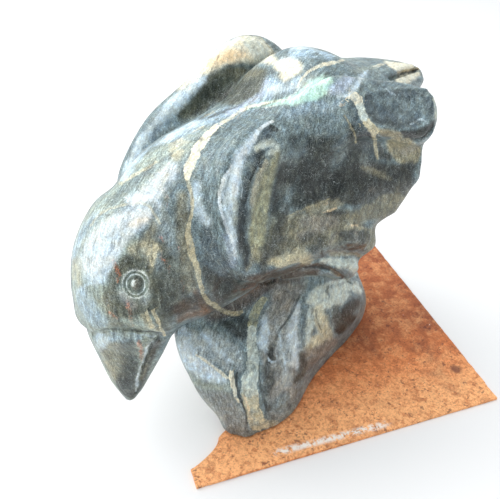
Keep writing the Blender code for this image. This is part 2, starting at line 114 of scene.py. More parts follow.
# Soft washes of colour, some of them painted highlights and painted shade: (tint, strength, softness, path
# of (across, down, half width)) in the picture.
WASHES = (
    # the head
    ("green grey", 1.0, 10, ((96, 240, 34), (112, 290, 46), (122, 340, 34), (128, 380, 22))),
    # painted sheen: white and sky washes where the crown catches the light
    ("white", 0.74, 4, ((90, 264, 11), (100, 246, 15), (116, 232, 16), (133, 220, 13), (144, 214, 8))),
    ("white", 0.76, 4, ((96, 272, 9), (104, 262, 11), (112, 250, 9))),
    ("sky", 0.6, 4, ((84, 256, 4), (100, 250, 4), (114, 238, 4))),
    ("sky", 0.6, 4, ((88, 276, 5), (98, 280, 5), (108, 268, 4))),
    ("warm", 0.35, 4, ((134, 224, 4), (146, 218, 4))),
    # painted sheen along the crown's left edge
    ("blue", 0.7, 3, ((72, 262, 3), (77, 244, 4), (86, 228, 4), (98, 215, 4), (112, 205, 4))),
    ("slate", 0.6, 2, ((80, 236, 1.6), (90, 224, 2.0), (102, 213, 2.0), (118, 205, 1.6))),
    ("straw", 0.4, 3, ((74, 276, 3), (76, 262, 3), (80, 286, 2))),
    ("rock grey", 0.35, 8, ((158, 214, 9), (166, 244, 12), (166, 276, 11))),
    ("olive", 0.75, 4, ((154, 226, 4), (150, 238, 7), (142, 248, 6), (132, 252, 4))),
    ("dark olive", 0.9, 4, ((113, 276, 4), (112, 288, 6), (114, 300, 8), (122, 310, 8), (136, 308, 9),
                            (150, 306, 8))),
    ("dark olive", 0.9, 3, ((118, 268, 4), (126, 261, 5), (137, 260, 6), (148, 266, 5), (154, 280, 6),
                            (156, 296, 7))),
    # painted shade in the recess round the eye's upper side
    ("black green", 0.45, 3, ((116, 274, 3), (122, 264, 3), (134, 260, 3), (116, 290, 3))),
    ("blue", 0.65, 4, ((82, 292, 6), (86, 304, 8), (94, 316, 8), (102, 322, 6))),
    ("sky", 0.30, 4, ((101, 339, 5), (112, 341, 5), (124, 343, 4))),
    ("olive", 0.6, 4, ((104, 300, 4), (110, 312, 5), (112, 322, 5))),
    ("dark olive", 0.85, 5, ((164, 246, 5), (168, 266, 8), (168, 288, 11), (166, 306, 10), (162, 322, 8))),
    ("black green", 0.5, 4, ((162, 286, 4), (168, 300, 6), (172, 312, 6))),
    ("khaki", 0.7, 2.5, ((152, 243, 2.5), (157, 247, 4), (160, 251, 2.5))),
    ("straw", 0.75, 3, ((143, 247, 3.5), (150, 254, 4.5), (152, 262, 2.5))),
    ("pale grey", 0.8, 3, ((122, 294, 2.5), (127, 301, 4), (133, 307, 3))),
    ("khaki", 0.8, 2, ((154, 256, 2.5), (152, 264, 2.2), (151, 271, 1.6))),
    ("khaki", 0.6, 3, ((130, 250, 3), (136, 255, 2.5))),
    ("khaki", 0.7, 2, ((143, 316, 2), (148, 325, 2.5), (154, 329, 2), (160, 330, 2))),
    ("sky", 0.35, 3, ((148, 296, 2), (144, 303, 2.5))),
    ("dark olive", 0.7, 3, ((118, 324, 4), (132, 328, 3), (148, 332, 2))),
    # the beak
    ("olive", 0.75, 4, ((112, 352, 12), (118, 364, 11), (122, 376, 9))),
    ("charcoal", 0.75, 4, ((128, 346, 8), (130, 362, 8), (126, 380, 8))),
    # painted highlight on the raised edge below the beak's crease
    ("sky", 0.6, 3, ((99, 338, 4), (101, 346, 4), (106, 340, 4))),
    ("blue", 0.5, 3, ((112, 338, 4), (126, 338, 3), (138, 338, 3))),
    ("khaki", 0.6, 2.5, ((106, 362, 2.5), (111, 370, 3), (115, 378, 2.5))),
    ("black green", 0.85, 2.5, ((118, 386, 2.5), (124, 392, 4), (131, 396, 4))),
    ("black green", 0.9, 2, ((158, 341, 3.5), (152, 352, 4), (147, 364, 3.5), (143, 378, 3),
                             (138, 392, 2))),
    ("olive", 0.6, 2, ((146, 366, 1.6), (141, 378, 1.4))),
    # the nape and the neck
    ("green grey", 0.9, 6, ((104, 204, 8), (126, 186, 12), (154, 164, 14), (184, 146, 12))),
    ("slate", 0.6, 4, ((112, 200, 4), (130, 184, 6), (148, 172, 5), (166, 160, 3))),
    ("white", 0.85, 4, ((134, 200, 6), (150, 192, 8), (162, 182, 9), (172, 168, 6))),
    ("white", 0.5, 3, ((128, 198, 3), (148, 196, 4), (158, 206, 3))),
    ("slate", 0.7, 3, ((168, 186, 5), (174, 206, 5), (178, 230, 4), (176, 250, 4))),
    ("olive", 0.8, 4, ((182, 196, 5), (182, 220, 6), (184, 244, 6), (187, 264, 7), (190, 284, 8))),
    ("dark olive", 0.6, 4, ((176, 262, 5), (180, 282, 7), (182, 300, 7))),
    ("khaki", 0.55, 2.5, ((168, 172, 2.5), (162, 188, 2), (166, 200, 2))),
    ("straw", 0.7, 2.5, ((172, 150, 3), (178, 144, 3.5), (186, 141, 2.5))),
    ("straw", 0.5, 2.5, ((176, 158, 3), (180, 152, 3))),
    # painted shade under the breast and wing, tinted brown as a painted reflection of the rusted plate (this
    # wash and the two brown ones after it)
    ("dark brown", 0.85, 4, ((178, 310, 6), (200, 302, 6), (214, 314, 8), (236, 304, 9), (256, 292, 8),
                             (280, 280, 5))),
    ("brown", 0.75, 3, ((180, 320, 3), (192, 314, 4), (206, 312, 4), (196, 292, 3))),
    ("brown", 0.6, 3, ((238, 294, 4), (250, 288, 4), (266, 282, 3))),
    # the back between the wings
    # painted highlights: the back's lit left edge and, in the lavender wash, the hump's lit flank
    ("blue", 0.8, 5, ((176, 136, 7), (196, 128, 7), (220, 118, 7), (244, 110, 6), (262, 96, 6),
                      (274, 84, 6))),
    ("sky", 0.8, 2, ((158, 144, 2), (172, 135, 2.5), (186, 127, 2.5), (200, 122, 2))),
    ("lavender", 0.8, 2.5, ((226, 113, 2), (244, 106, 2.5), (258, 96, 3.5), (268, 82, 3))),
    ("slate", 0.7, 4, ((204, 132, 5), (226, 122, 5), (248, 116, 5), (268, 112, 6), (288, 110, 6))),
    ("green grey", 0.7, 3, ((186, 138, 3), (200, 134, 3), (206, 128, 3))),
    ("mint", 0.7, 1.6, ((246, 110, 1.2), (262, 105, 1.8), (278, 102, 2.6), (290, 100, 3.5))),
    ("mint", 0.95, 1.8, ((292, 101, 4), (302, 97, 6), (311, 92, 9), (320, 86, 9), (327, 80, 5))),
    ("pale green", 0.5, 2, ((300, 88, 3), (308, 82, 3), (316, 77, 3))),
    ("sky", 0.7, 3, ((268, 92, 4), (278, 88, 5), (290, 86, 5), (300, 80, 4))),
    ("cream", 0.95, 2.5, ((279, 66, 5), (287, 66, 8), (296, 67, 7), (286, 76, 5))),
    # painted sheen on the top of the hump
    ("white", 0.5, 3, ((282, 62, 4), (292, 60, 4))),
    ("blue", 0.9, 2.5, ((292, 54, 4), (304, 54, 5), (316, 53, 4), (330, 56, 3))),
    ("sky", 0.9, 1.6, ((292, 48, 2), (306, 46, 2), (320, 48, 2), (334, 54, 1.6))),
    ("slate", 0.7, 1.6, ((300, 57, 1.6), (312, 54, 1.6), (324, 57, 1.4))),
    ("slate", 0.6, 1.6, ((284, 86, 1.4), (292, 79, 1.6), (300, 73, 2), (309, 66, 2))),
    ("slate", 0.85, 3, ((330, 72, 4), (342, 69, 6), (354, 68, 5), (366, 66, 4), (378, 64, 3))),
    ("lavender", 0.75, 3, ((332, 90, 5), (342, 86, 6), (350, 78, 5))),
    ("sky", 0.9, 1.6, ((338, 97, 1.2), (350, 93, 1.8), (356, 86, 2.4), (360, 79, 2.4), (366, 72, 1.8))),
    ("green grey", 0.7, 2, ((358, 70, 2.5), (366, 69, 2.5), (376, 67, 2))),
    # the tail
    ("slate", 0.95, 2, ((366, 85, 3), (374, 80, 7), (384, 78, 8), (392, 76, 5), (394, 84, 3))),
    ("deep slate", 0.6, 2, ((376, 84, 3), (386, 80, 4), (392, 74, 3))),
    ("cream", 0.95, 1.6, ((386, 62, 1.6), (398, 66, 5), (410, 65, 5), (421, 66, 3))),
    ("cream", 0.8, 1.6, ((400, 80, 4), (408, 78, 5), (417, 74, 3))),
    ("ochre", 0.7, 1.2, ((398, 73, 1.2), (410, 70, 1.4), (421, 66, 1.6))),
    # the far wing
    ("cream", 0.95, 3.5, ((182, 90, 3), (196, 76, 7), (210, 62, 10), (228, 50, 13), (246, 49, 13),
                          (262, 53, 10),
                          (272, 60, 4))),
    ("warm", 0.8, 4, ((204, 66, 4), (214, 61, 5), (230, 56, 6), (242, 54, 4))),
    ("pale green", 0.75, 3, ((248, 42, 4), (256, 48, 6), (264, 54, 6), (258, 60, 5))),
    # painted reflection of the sky along the far wing's upper edge
    ("white", 0.6, 3, ((194, 72, 3), (208, 57, 3), (220, 45, 3), (234, 38, 3))),
    ("dark olive", 0.95, 3.5, ((182, 112, 8), (196, 104, 11), (208, 93, 13), (222, 87, 17), (238, 85, 19),
                               (252, 81, 14), (262, 73, 6))),
    ("charcoal", 0.5, 5, ((206, 94, 8), (220, 90, 11), (236, 94, 11), (246, 88, 8))),
    ("olive", 0.45, 3, ((246, 72, 6), (256, 70, 5), (228, 72, 4))),
    # painted reflection of the sky along the far wing's left edge, in this sky wash and the blue one after
    # it
    ("sky", 0.95, 3, ((124, 178, 3), (132, 162, 4), (144, 142, 6), (158, 124, 6), (172, 108, 7),
                      (184, 97, 6),
                      (194, 87, 5), (203, 80, 4))),
    ("blue", 0.6, 3, ((130, 172, 3), (144, 150, 3), (160, 132, 4), (176, 118, 3))),
    # the breast and the wing's front ridge
    ("slate", 0.95, 5, ((260, 116, 6), (244, 126, 9), (226, 141, 12), (212, 160, 12), (206, 186, 11),
                        (207, 210, 12),
                        (212, 236, 16), (218, 262, 19), (224, 284, 17))),
    ("slate", 0.5, 4, ((246, 128, 5), (232, 142, 5), (216, 154, 4))),
    ("sky", 0.85, 4, ((198, 184, 3.5), (195, 194, 5), (197, 208, 5), (208, 222, 4))),
    ("deep slate", 0.8, 5, ((206, 234, 6), (211, 250, 10), (217, 266, 14), (223, 284, 14))),
    ("black green", 0.8, 5, ((210, 284, 5), (222, 286, 10), (236, 284, 10), (244, 278, 5))),
    # painted highlight along the wing's front ridge (this wash and the lavender one after it)
    ("sky", 1.0, 2.5, ((256, 134, 3), (249, 143, 4), (242, 155, 5), (236, 170, 7), (231, 186, 8),
                       (229, 200, 7),
                        (229, 214, 3.5), (231, 230, 2.6), (234, 246, 2.4), (235, 258, 2))),
    ("lavender", 0.5, 2.5, ((226, 236, 2), (230, 252, 3), (232, 264, 3))),
    ("pale green", 0.7, 1.8, ((234, 198, 2), (235, 210, 2.6), (236, 222, 2.2), (236, 232, 1.6))),
    ("slate", 0.7, 1.5, ((228, 178, 1), (226, 192, 1.2), (228, 208, 1.6), (231, 220, 1.2))),
    ("deep slate", 0.95, 2.5, ((268, 133, 5), (261, 142, 5), (256, 154, 6), (253, 168, 5), (249, 180, 4),
                               (245, 194, 3.4), (243, 208, 3.4), (241, 222, 3.8), (241, 238, 4.5),
                               (244, 252, 5),
                               (246, 268, 3.5))),
    ("pale green", 0.8, 2.2, ((256, 148, 3), (263, 145, 3.5), (270, 143, 3), (277, 150, 3), (270, 153, 3))),
    ("moss", 0.95, 2.5, ((277, 156, 3.5), (272, 168, 5), (266, 184, 7), (262, 200, 8), (259, 216, 8.5),
                         (257, 232, 8.5),
                         (257, 246, 7), (258, 258, 5))),
    ("straw", 0.7, 2, ((266, 162, 2.5), (260, 174, 2.5), (255, 188, 2.5), (252, 204, 1.8))),
    ("khaki", 0.6, 2, ((256, 236, 2.5), (254, 250, 2.5), (252, 262, 2), (247, 270, 1.6))),
    # the near wing's face
    ("charcoal", 0.95, 6, ((286, 176, 12), (302, 152, 22), (322, 150, 32), (342, 166, 28), (312, 190, 24),
                           (352, 144, 22))),
    ("slate", 0.9, 5, ((282, 124, 9), (298, 122, 13), (318, 120, 15), (336, 120, 14), (348, 108, 8))),
    ("blue", 0.5, 3.5, ((286, 114, 4), (300, 109, 5), (316, 106, 5), (330, 108, 5), (338, 104, 4))),
    ("slate", 0.65, 4, ((282, 140, 7), (288, 156, 8), (300, 146, 9))),
    ("slate", 0.6, 4, ((344, 134, 5), (340, 150, 6), (335, 164, 5), (332, 174, 3))),
    ("deep slate", 0.6, 3, ((354, 108, 4), (360, 124, 6), (366, 140, 6), (368, 152, 6))),
    ("umber", 1.0, 4, ((318, 188, 14), (340, 186, 15), (362, 178, 17), (386, 178, 14), (402, 176, 10))),
    # partly painted shade: the wing's dark stone made darker where its hollow faces down
    ("black green", 0.7, 6, ((296, 184, 8), (314, 172, 11), (334, 184, 10))),
    ("khaki", 0.5, 1.8, ((362, 168, 1.6), (372, 171, 3), (384, 176, 3), (392, 179, 1.6))),
    ("warm grey", 0.6, 1.6, ((371, 190, 2.4), (376, 195, 2.6))),
    ("slate", 0.35, 2, ((299, 178, 2), (297, 192, 2))),
    # the wing's tip
    ("deep slate", 0.95, 2, ((368, 98, 5), (374, 108, 10), (392, 108, 18), (414, 108, 19), (426, 106, 11))),
    ("slate", 0.8, 3, ((376, 100, 5), (396, 102, 7), (404, 112, 8), (420, 102, 6), (424, 118, 5))),
    ("charcoal", 0.6, 2.5, ((372, 116, 4), (380, 122, 3), (396, 124, 3))),
    # painted shade under the ledge of the wing's tip
    ("black green", 0.95, 1.6, ((402, 133, 2.6), (410, 136, 4.4), (420, 135, 4.4), (429, 128, 2.6),
                                (434, 121, 1.4))),
    ("pale green", 0.95, 1.3, ((434, 99, 1.6), (437, 108, 2.2), (436, 117, 1.8))),
    ("khaki", 0.95, 2, ((378, 130, 2.5), (388, 133, 4), (398, 135, 4), (394, 144, 7), (406, 146, 8),
                        (414, 152, 7))),
    ("khaki", 0.9, 2, ((392, 150, 4), (400, 158, 5), (414, 158, 5))),
    ("olive", 0.6, 2, ((384, 134, 2.5), (396, 135, 2.5), (408, 144, 3))),
    ("warm grey", 0.5, 2, ((404, 152, 4), (414, 148, 4))),
    ("umber", 0.9, 2, ((380, 146, 2.6), (383, 155, 3.8), (388, 159, 3.4))),
    ("umber", 0.95, 2.5, ((394, 170, 6), (404, 170, 6.5), (412, 165, 4.5), (402, 180, 7))),
    # the lower part of the wing
    ("olive", 0.95, 5, ((266, 256, 10), (282, 238, 16), (304, 230, 18), (328, 230, 18), (350, 222, 12))),
    ("olive", 0.9, 2.5, ((352, 220, 4), (364, 214, 7), (378, 208, 10), (390, 201, 9), (398, 197, 5))),
    ("khaki", 0.6, 2.5, ((310, 208, 3), (322, 206, 5), (334, 205, 5), (344, 199, 4))),
    ("umber", 0.95, 1.8, ((344, 198, 5), (354, 200, 6), (364, 200, 5), (374, 195, 4), (386, 191, 3),
                          (398, 188, 2.4))),
    ("umber", 0.9, 1.5, ((328, 213, 2.2), (337, 214, 2.8), (347, 213, 1.8))),
    ("warm grey", 0.7, 3.5, ((306, 222, 6), (320, 222, 7), (334, 222, 5), (300, 236, 4))),
    ("umber", 0.7, 3, ((276, 238, 4), (284, 240, 5), (278, 250, 4), (268, 258, 4), (262, 266, 2.5))),
    ("umber", 0.75, 4, ((304, 240, 5), (314, 238, 6), (321, 243, 5), (314, 250, 5))),
    ("umber", 0.95, 1.5, ((343, 234, 4), (352, 237, 7), (364, 238, 7), (366, 245, 5), (350, 246, 4))),
    ("warm grey", 0.6, 1.5, ((330, 246, 1.6), (333, 238, 1.8), (338, 231, 1.6))),
    ("warm grey", 0.6, 1.4, ((356, 232, 1.2), (357, 242, 1.2))),
    ("khaki", 0.85, 2, ((274, 263, 3.5), (284, 262, 5), (296, 258, 5), (306, 260, 4), (296, 250, 2.5))),
    ("khaki", 0.8, 1.5, ((346, 226, 1.6), (358, 228, 1.8), (370, 230, 1.4), (373, 240, 1.6),
                         (372, 250, 2.6))),
    ("khaki", 0.6, 1.6, ((362, 257, 2.4), (350, 254, 1.8), (332, 254, 2.6))),
    ("brown", 0.35, 1.5, ((330, 251, 1.2), (344, 251, 1.6), (358, 254, 1.4))),
    # the lobe and the crease under the wing
    # painted shade in the crease under the wing's lower lip and the lobe
    ("dark brown", 0.9, 2, ((248, 285, 3.5), (268, 281, 4), (288, 274, 3), (304, 267, 2.6), (322, 266, 2.2),
                            (336, 271, 1.8), (350, 281, 1.4))),
    ("pale green", 0.9, 1.6, ((321, 261, 1.6), (330, 261, 2.8), (342, 263, 4.5), (354, 264, 5),
                              (358, 272, 2.5))),
    ("slate", 0.9, 1.8, ((348, 269, 3), (352, 276, 4), (355, 281, 2.6))),
    ("khaki", 0.7, 1.5, ((332, 271, 1.6), (339, 275, 1.6))),
    # the rock's front
    ("grey", 0.6, 6, ((200, 384, 12), (220, 404, 16), (240, 424, 12))),
    ("sky", 0.95, 3, ((182, 334, 5), (185, 348, 7), (192, 362, 9), (204, 370, 9), (216, 377, 7),
                      (224, 381, 3.5))),
    ("white", 0.85, 2, ((182, 331, 2.5), (185, 350, 3), (195, 362, 3), (209, 371, 3), (220, 378, 2))),
    ("rock grey", 0.9, 2.5, ((193, 334, 2.5), (201, 343, 5), (212, 347, 8), (222, 357, 8), (228, 369, 4))),
    ("rock grey", 0.7, 2.5, ((208, 332, 3), (222, 342, 5), (236, 354, 6), (240, 368, 4))),
    ("sky", 0.9, 2, ((203, 334, 2.8), (212, 343, 3), (222, 354, 2.4), (232, 362, 2))),
    ("white", 0.38, 5, ((190, 340, 8), (197, 354, 9), (207, 366, 8))),
    # painted shade on the rock under the breast's overhang
    ("black green", 0.8, 3, ((222, 323, 3), (233, 328, 5), (242, 336, 4), (244, 322, 5), (234, 318, 4))),
    ("green grey", 0.8, 3, ((189, 376, 3), (200, 384, 4), (214, 387, 5), (227, 389, 4))),
    # the rock's left face
    ("grey", 0.9, 4, ((282, 300, 9), (274, 326, 12), (276, 356, 15), (282, 386, 16), (278, 408, 10))),
    ("warm grey", 0.75, 4, ((276, 296, 6), (288, 290, 8), (286, 306, 6), (300, 286, 6))),
    ("sky", 0.75, 1.8, ((266, 318, 3.2), (264, 331, 4.2), (262, 341, 4.2), (266, 350, 3))),
    ("rock grey", 0.7, 2, ((279, 328, 2.6), (281, 340, 4), (284, 352, 4.5), (286, 366, 5), (287, 382, 5))),
    ("white", 0.75, 3, ((298, 306, 3), (295, 320, 5), (294, 334, 8), (296, 350, 5), (294, 364, 4))),
    ("slate", 0.8, 2, ((307, 298, 2.6), (303, 316, 3), (301, 332, 3), (300, 346, 3))),
    ("black green", 0.75, 2, ((272, 346, 2), (271, 356, 3.5), (266, 372, 3), (270, 382, 5), (266, 390, 3))),
    ("black green", 0.4, 2, ((276, 372, 2.5), (264, 398, 2.5), (270, 408, 3))),
    ("slate", 0.75, 3, ((284, 398, 6), (276, 408, 6), (288, 408, 5))),
    ("pale green", 1.0, 2.2, ((312, 301, 5.5), (322, 293, 8), (336, 288, 7), (350, 285, 6), (359, 290, 4))),
    ("pale green", 0.9, 2.2, ((346, 296, 4), (332, 303, 5), (312, 312, 4), (309, 328, 3), (308, 342, 3))),
    ("straw", 0.8, 2.5, ((319, 310, 5), (322, 324, 7), (326, 337, 6), (316, 340, 5), (309, 348, 4))),
    ("charcoal", 0.95, 2.2, ((335, 308, 4), (338, 319, 5.5), (340, 330, 4.5), (347, 312, 6.5),
                             (355, 304, 5.5))),
    ("charcoal", 0.9, 2.2, ((352, 318, 4.5), (344, 326, 4))),
    ("warm grey", 0.8, 3, ((306, 354, 5), (320, 350, 5.5), (332, 342, 4.5), (306, 366, 4))),
    ("charcoal", 0.9, 2.2, ((301, 353, 2.5), (303, 362, 4), (304, 371, 3.5), (296, 380, 3))),
    ("slate", 0.7, 1.5, ((330, 296, 1.2), (326, 288, 1.4), (340, 284, 1.2))),
    # deeper and calmer tones laid over the groups above: ridge, wing, breast, head, beak and rock
    ("black green", 0.65, 2.5, ((262, 152, 2.5), (256, 162, 2.5), (250, 178, 2), (245, 200, 2),
                                (242, 218, 3.5),
                                (241, 236, 4.5), (245, 252, 5), (247, 266, 3))),
    ("black green", 0.8, 3, ((286, 170, 6), (282, 184, 7), (278, 198, 7), (274, 211, 5))),
    ("dark olive", 0.8, 4, ((278, 218, 7), (274, 232, 8), (268, 246, 7))),
    ("moss", 0.8, 2.5, ((262, 206, 6), (259, 222, 7), (257, 240, 6))),
    ("straw", 0.5, 2, ((268, 262, 2.5), (280, 262, 5.5), (294, 257, 6.5), (307, 258, 5.5), (300, 249, 3))),
    # painted shade under the wing's lower lip
    ("dark brown", 0.9, 2.5, ((252, 279, 4), (270, 274, 3.5), (288, 270, 2.5), (302, 266, 2))),
    ("olive", 0.95, 4, ((404, 192, 8), (394, 212, 9), (380, 230, 9), (372, 246, 8))),
    ("umber", 0.9, 3, ((398, 176, 7), (408, 178, 6), (404, 190, 6))),
    ("charcoal", 0.9, 2.5, ((206, 270, 4), (214, 284, 8), (226, 292, 9), (240, 286, 7))),
    # painted shade in the recess above the eye
    ("dark olive", 0.9, 2, ((118, 281, 2.5), (121, 271, 2.5), (129, 265, 2.5), (140, 265, 2.5),
                            (149, 270, 2.5))),
    ("black green", 0.75, 3, ((120, 380, 5), (128, 388, 6), (134, 394, 4))),
    ("olive", 0.6, 2, ((150, 352, 1.6), (146, 362, 1.6), (141, 378, 1.6))),
    # partly painted shade: the wing's dark stone made darker along the lower part of its hollow
    ("black green", 0.5, 6, ((300, 178, 10), (330, 176, 12), (362, 182, 8), (390, 182, 7))),
    ("umber", 0.75, 3, ((286, 208, 4), (282, 222, 5), (278, 236, 5), (269, 250, 4.5), (264, 264, 3.5),
                        (262, 276, 3.5))),
    ("black green", 0.6, 2.5, ((288, 206, 3), (304, 200, 3), (322, 194, 4), (340, 190, 5))),
    ("pale green", 0.8, 1.5, ((332, 262, 2.5), (343, 265, 4), (352, 268, 5), (356, 274, 2.5))),
    ("slate", 0.8, 1.5, ((344, 268, 1.6), (349, 273, 2.6), (353, 279, 2))),
    # painted shade under the ledge of the wing's tip
    ("black green", 0.9, 1.5, ((404, 133, 2.6), (414, 134, 4.6), (425, 131, 3.6), (433, 125, 1.6))),
    ("charcoal", 0.85, 3, ((132, 358, 4), (131, 376, 6), (130, 388, 4))),
    # painted shade under the breast and the wing's lower lip (this wash and the next)
    ("umber", 0.7, 3, ((188, 300, 4), (202, 299, 6), (220, 303, 6))),
    ("dark brown", 0.8, 2, ((284, 281, 4), (300, 276, 4.5), (318, 271, 3))),
    ("dark olive", 0.35, 4, ((372, 206, 6), (386, 214, 7), (376, 230, 7), (340, 246, 6))),
    ("pale grey", 0.7, 3, ((190, 384, 3), (204, 402, 4), (222, 418, 4))),
)
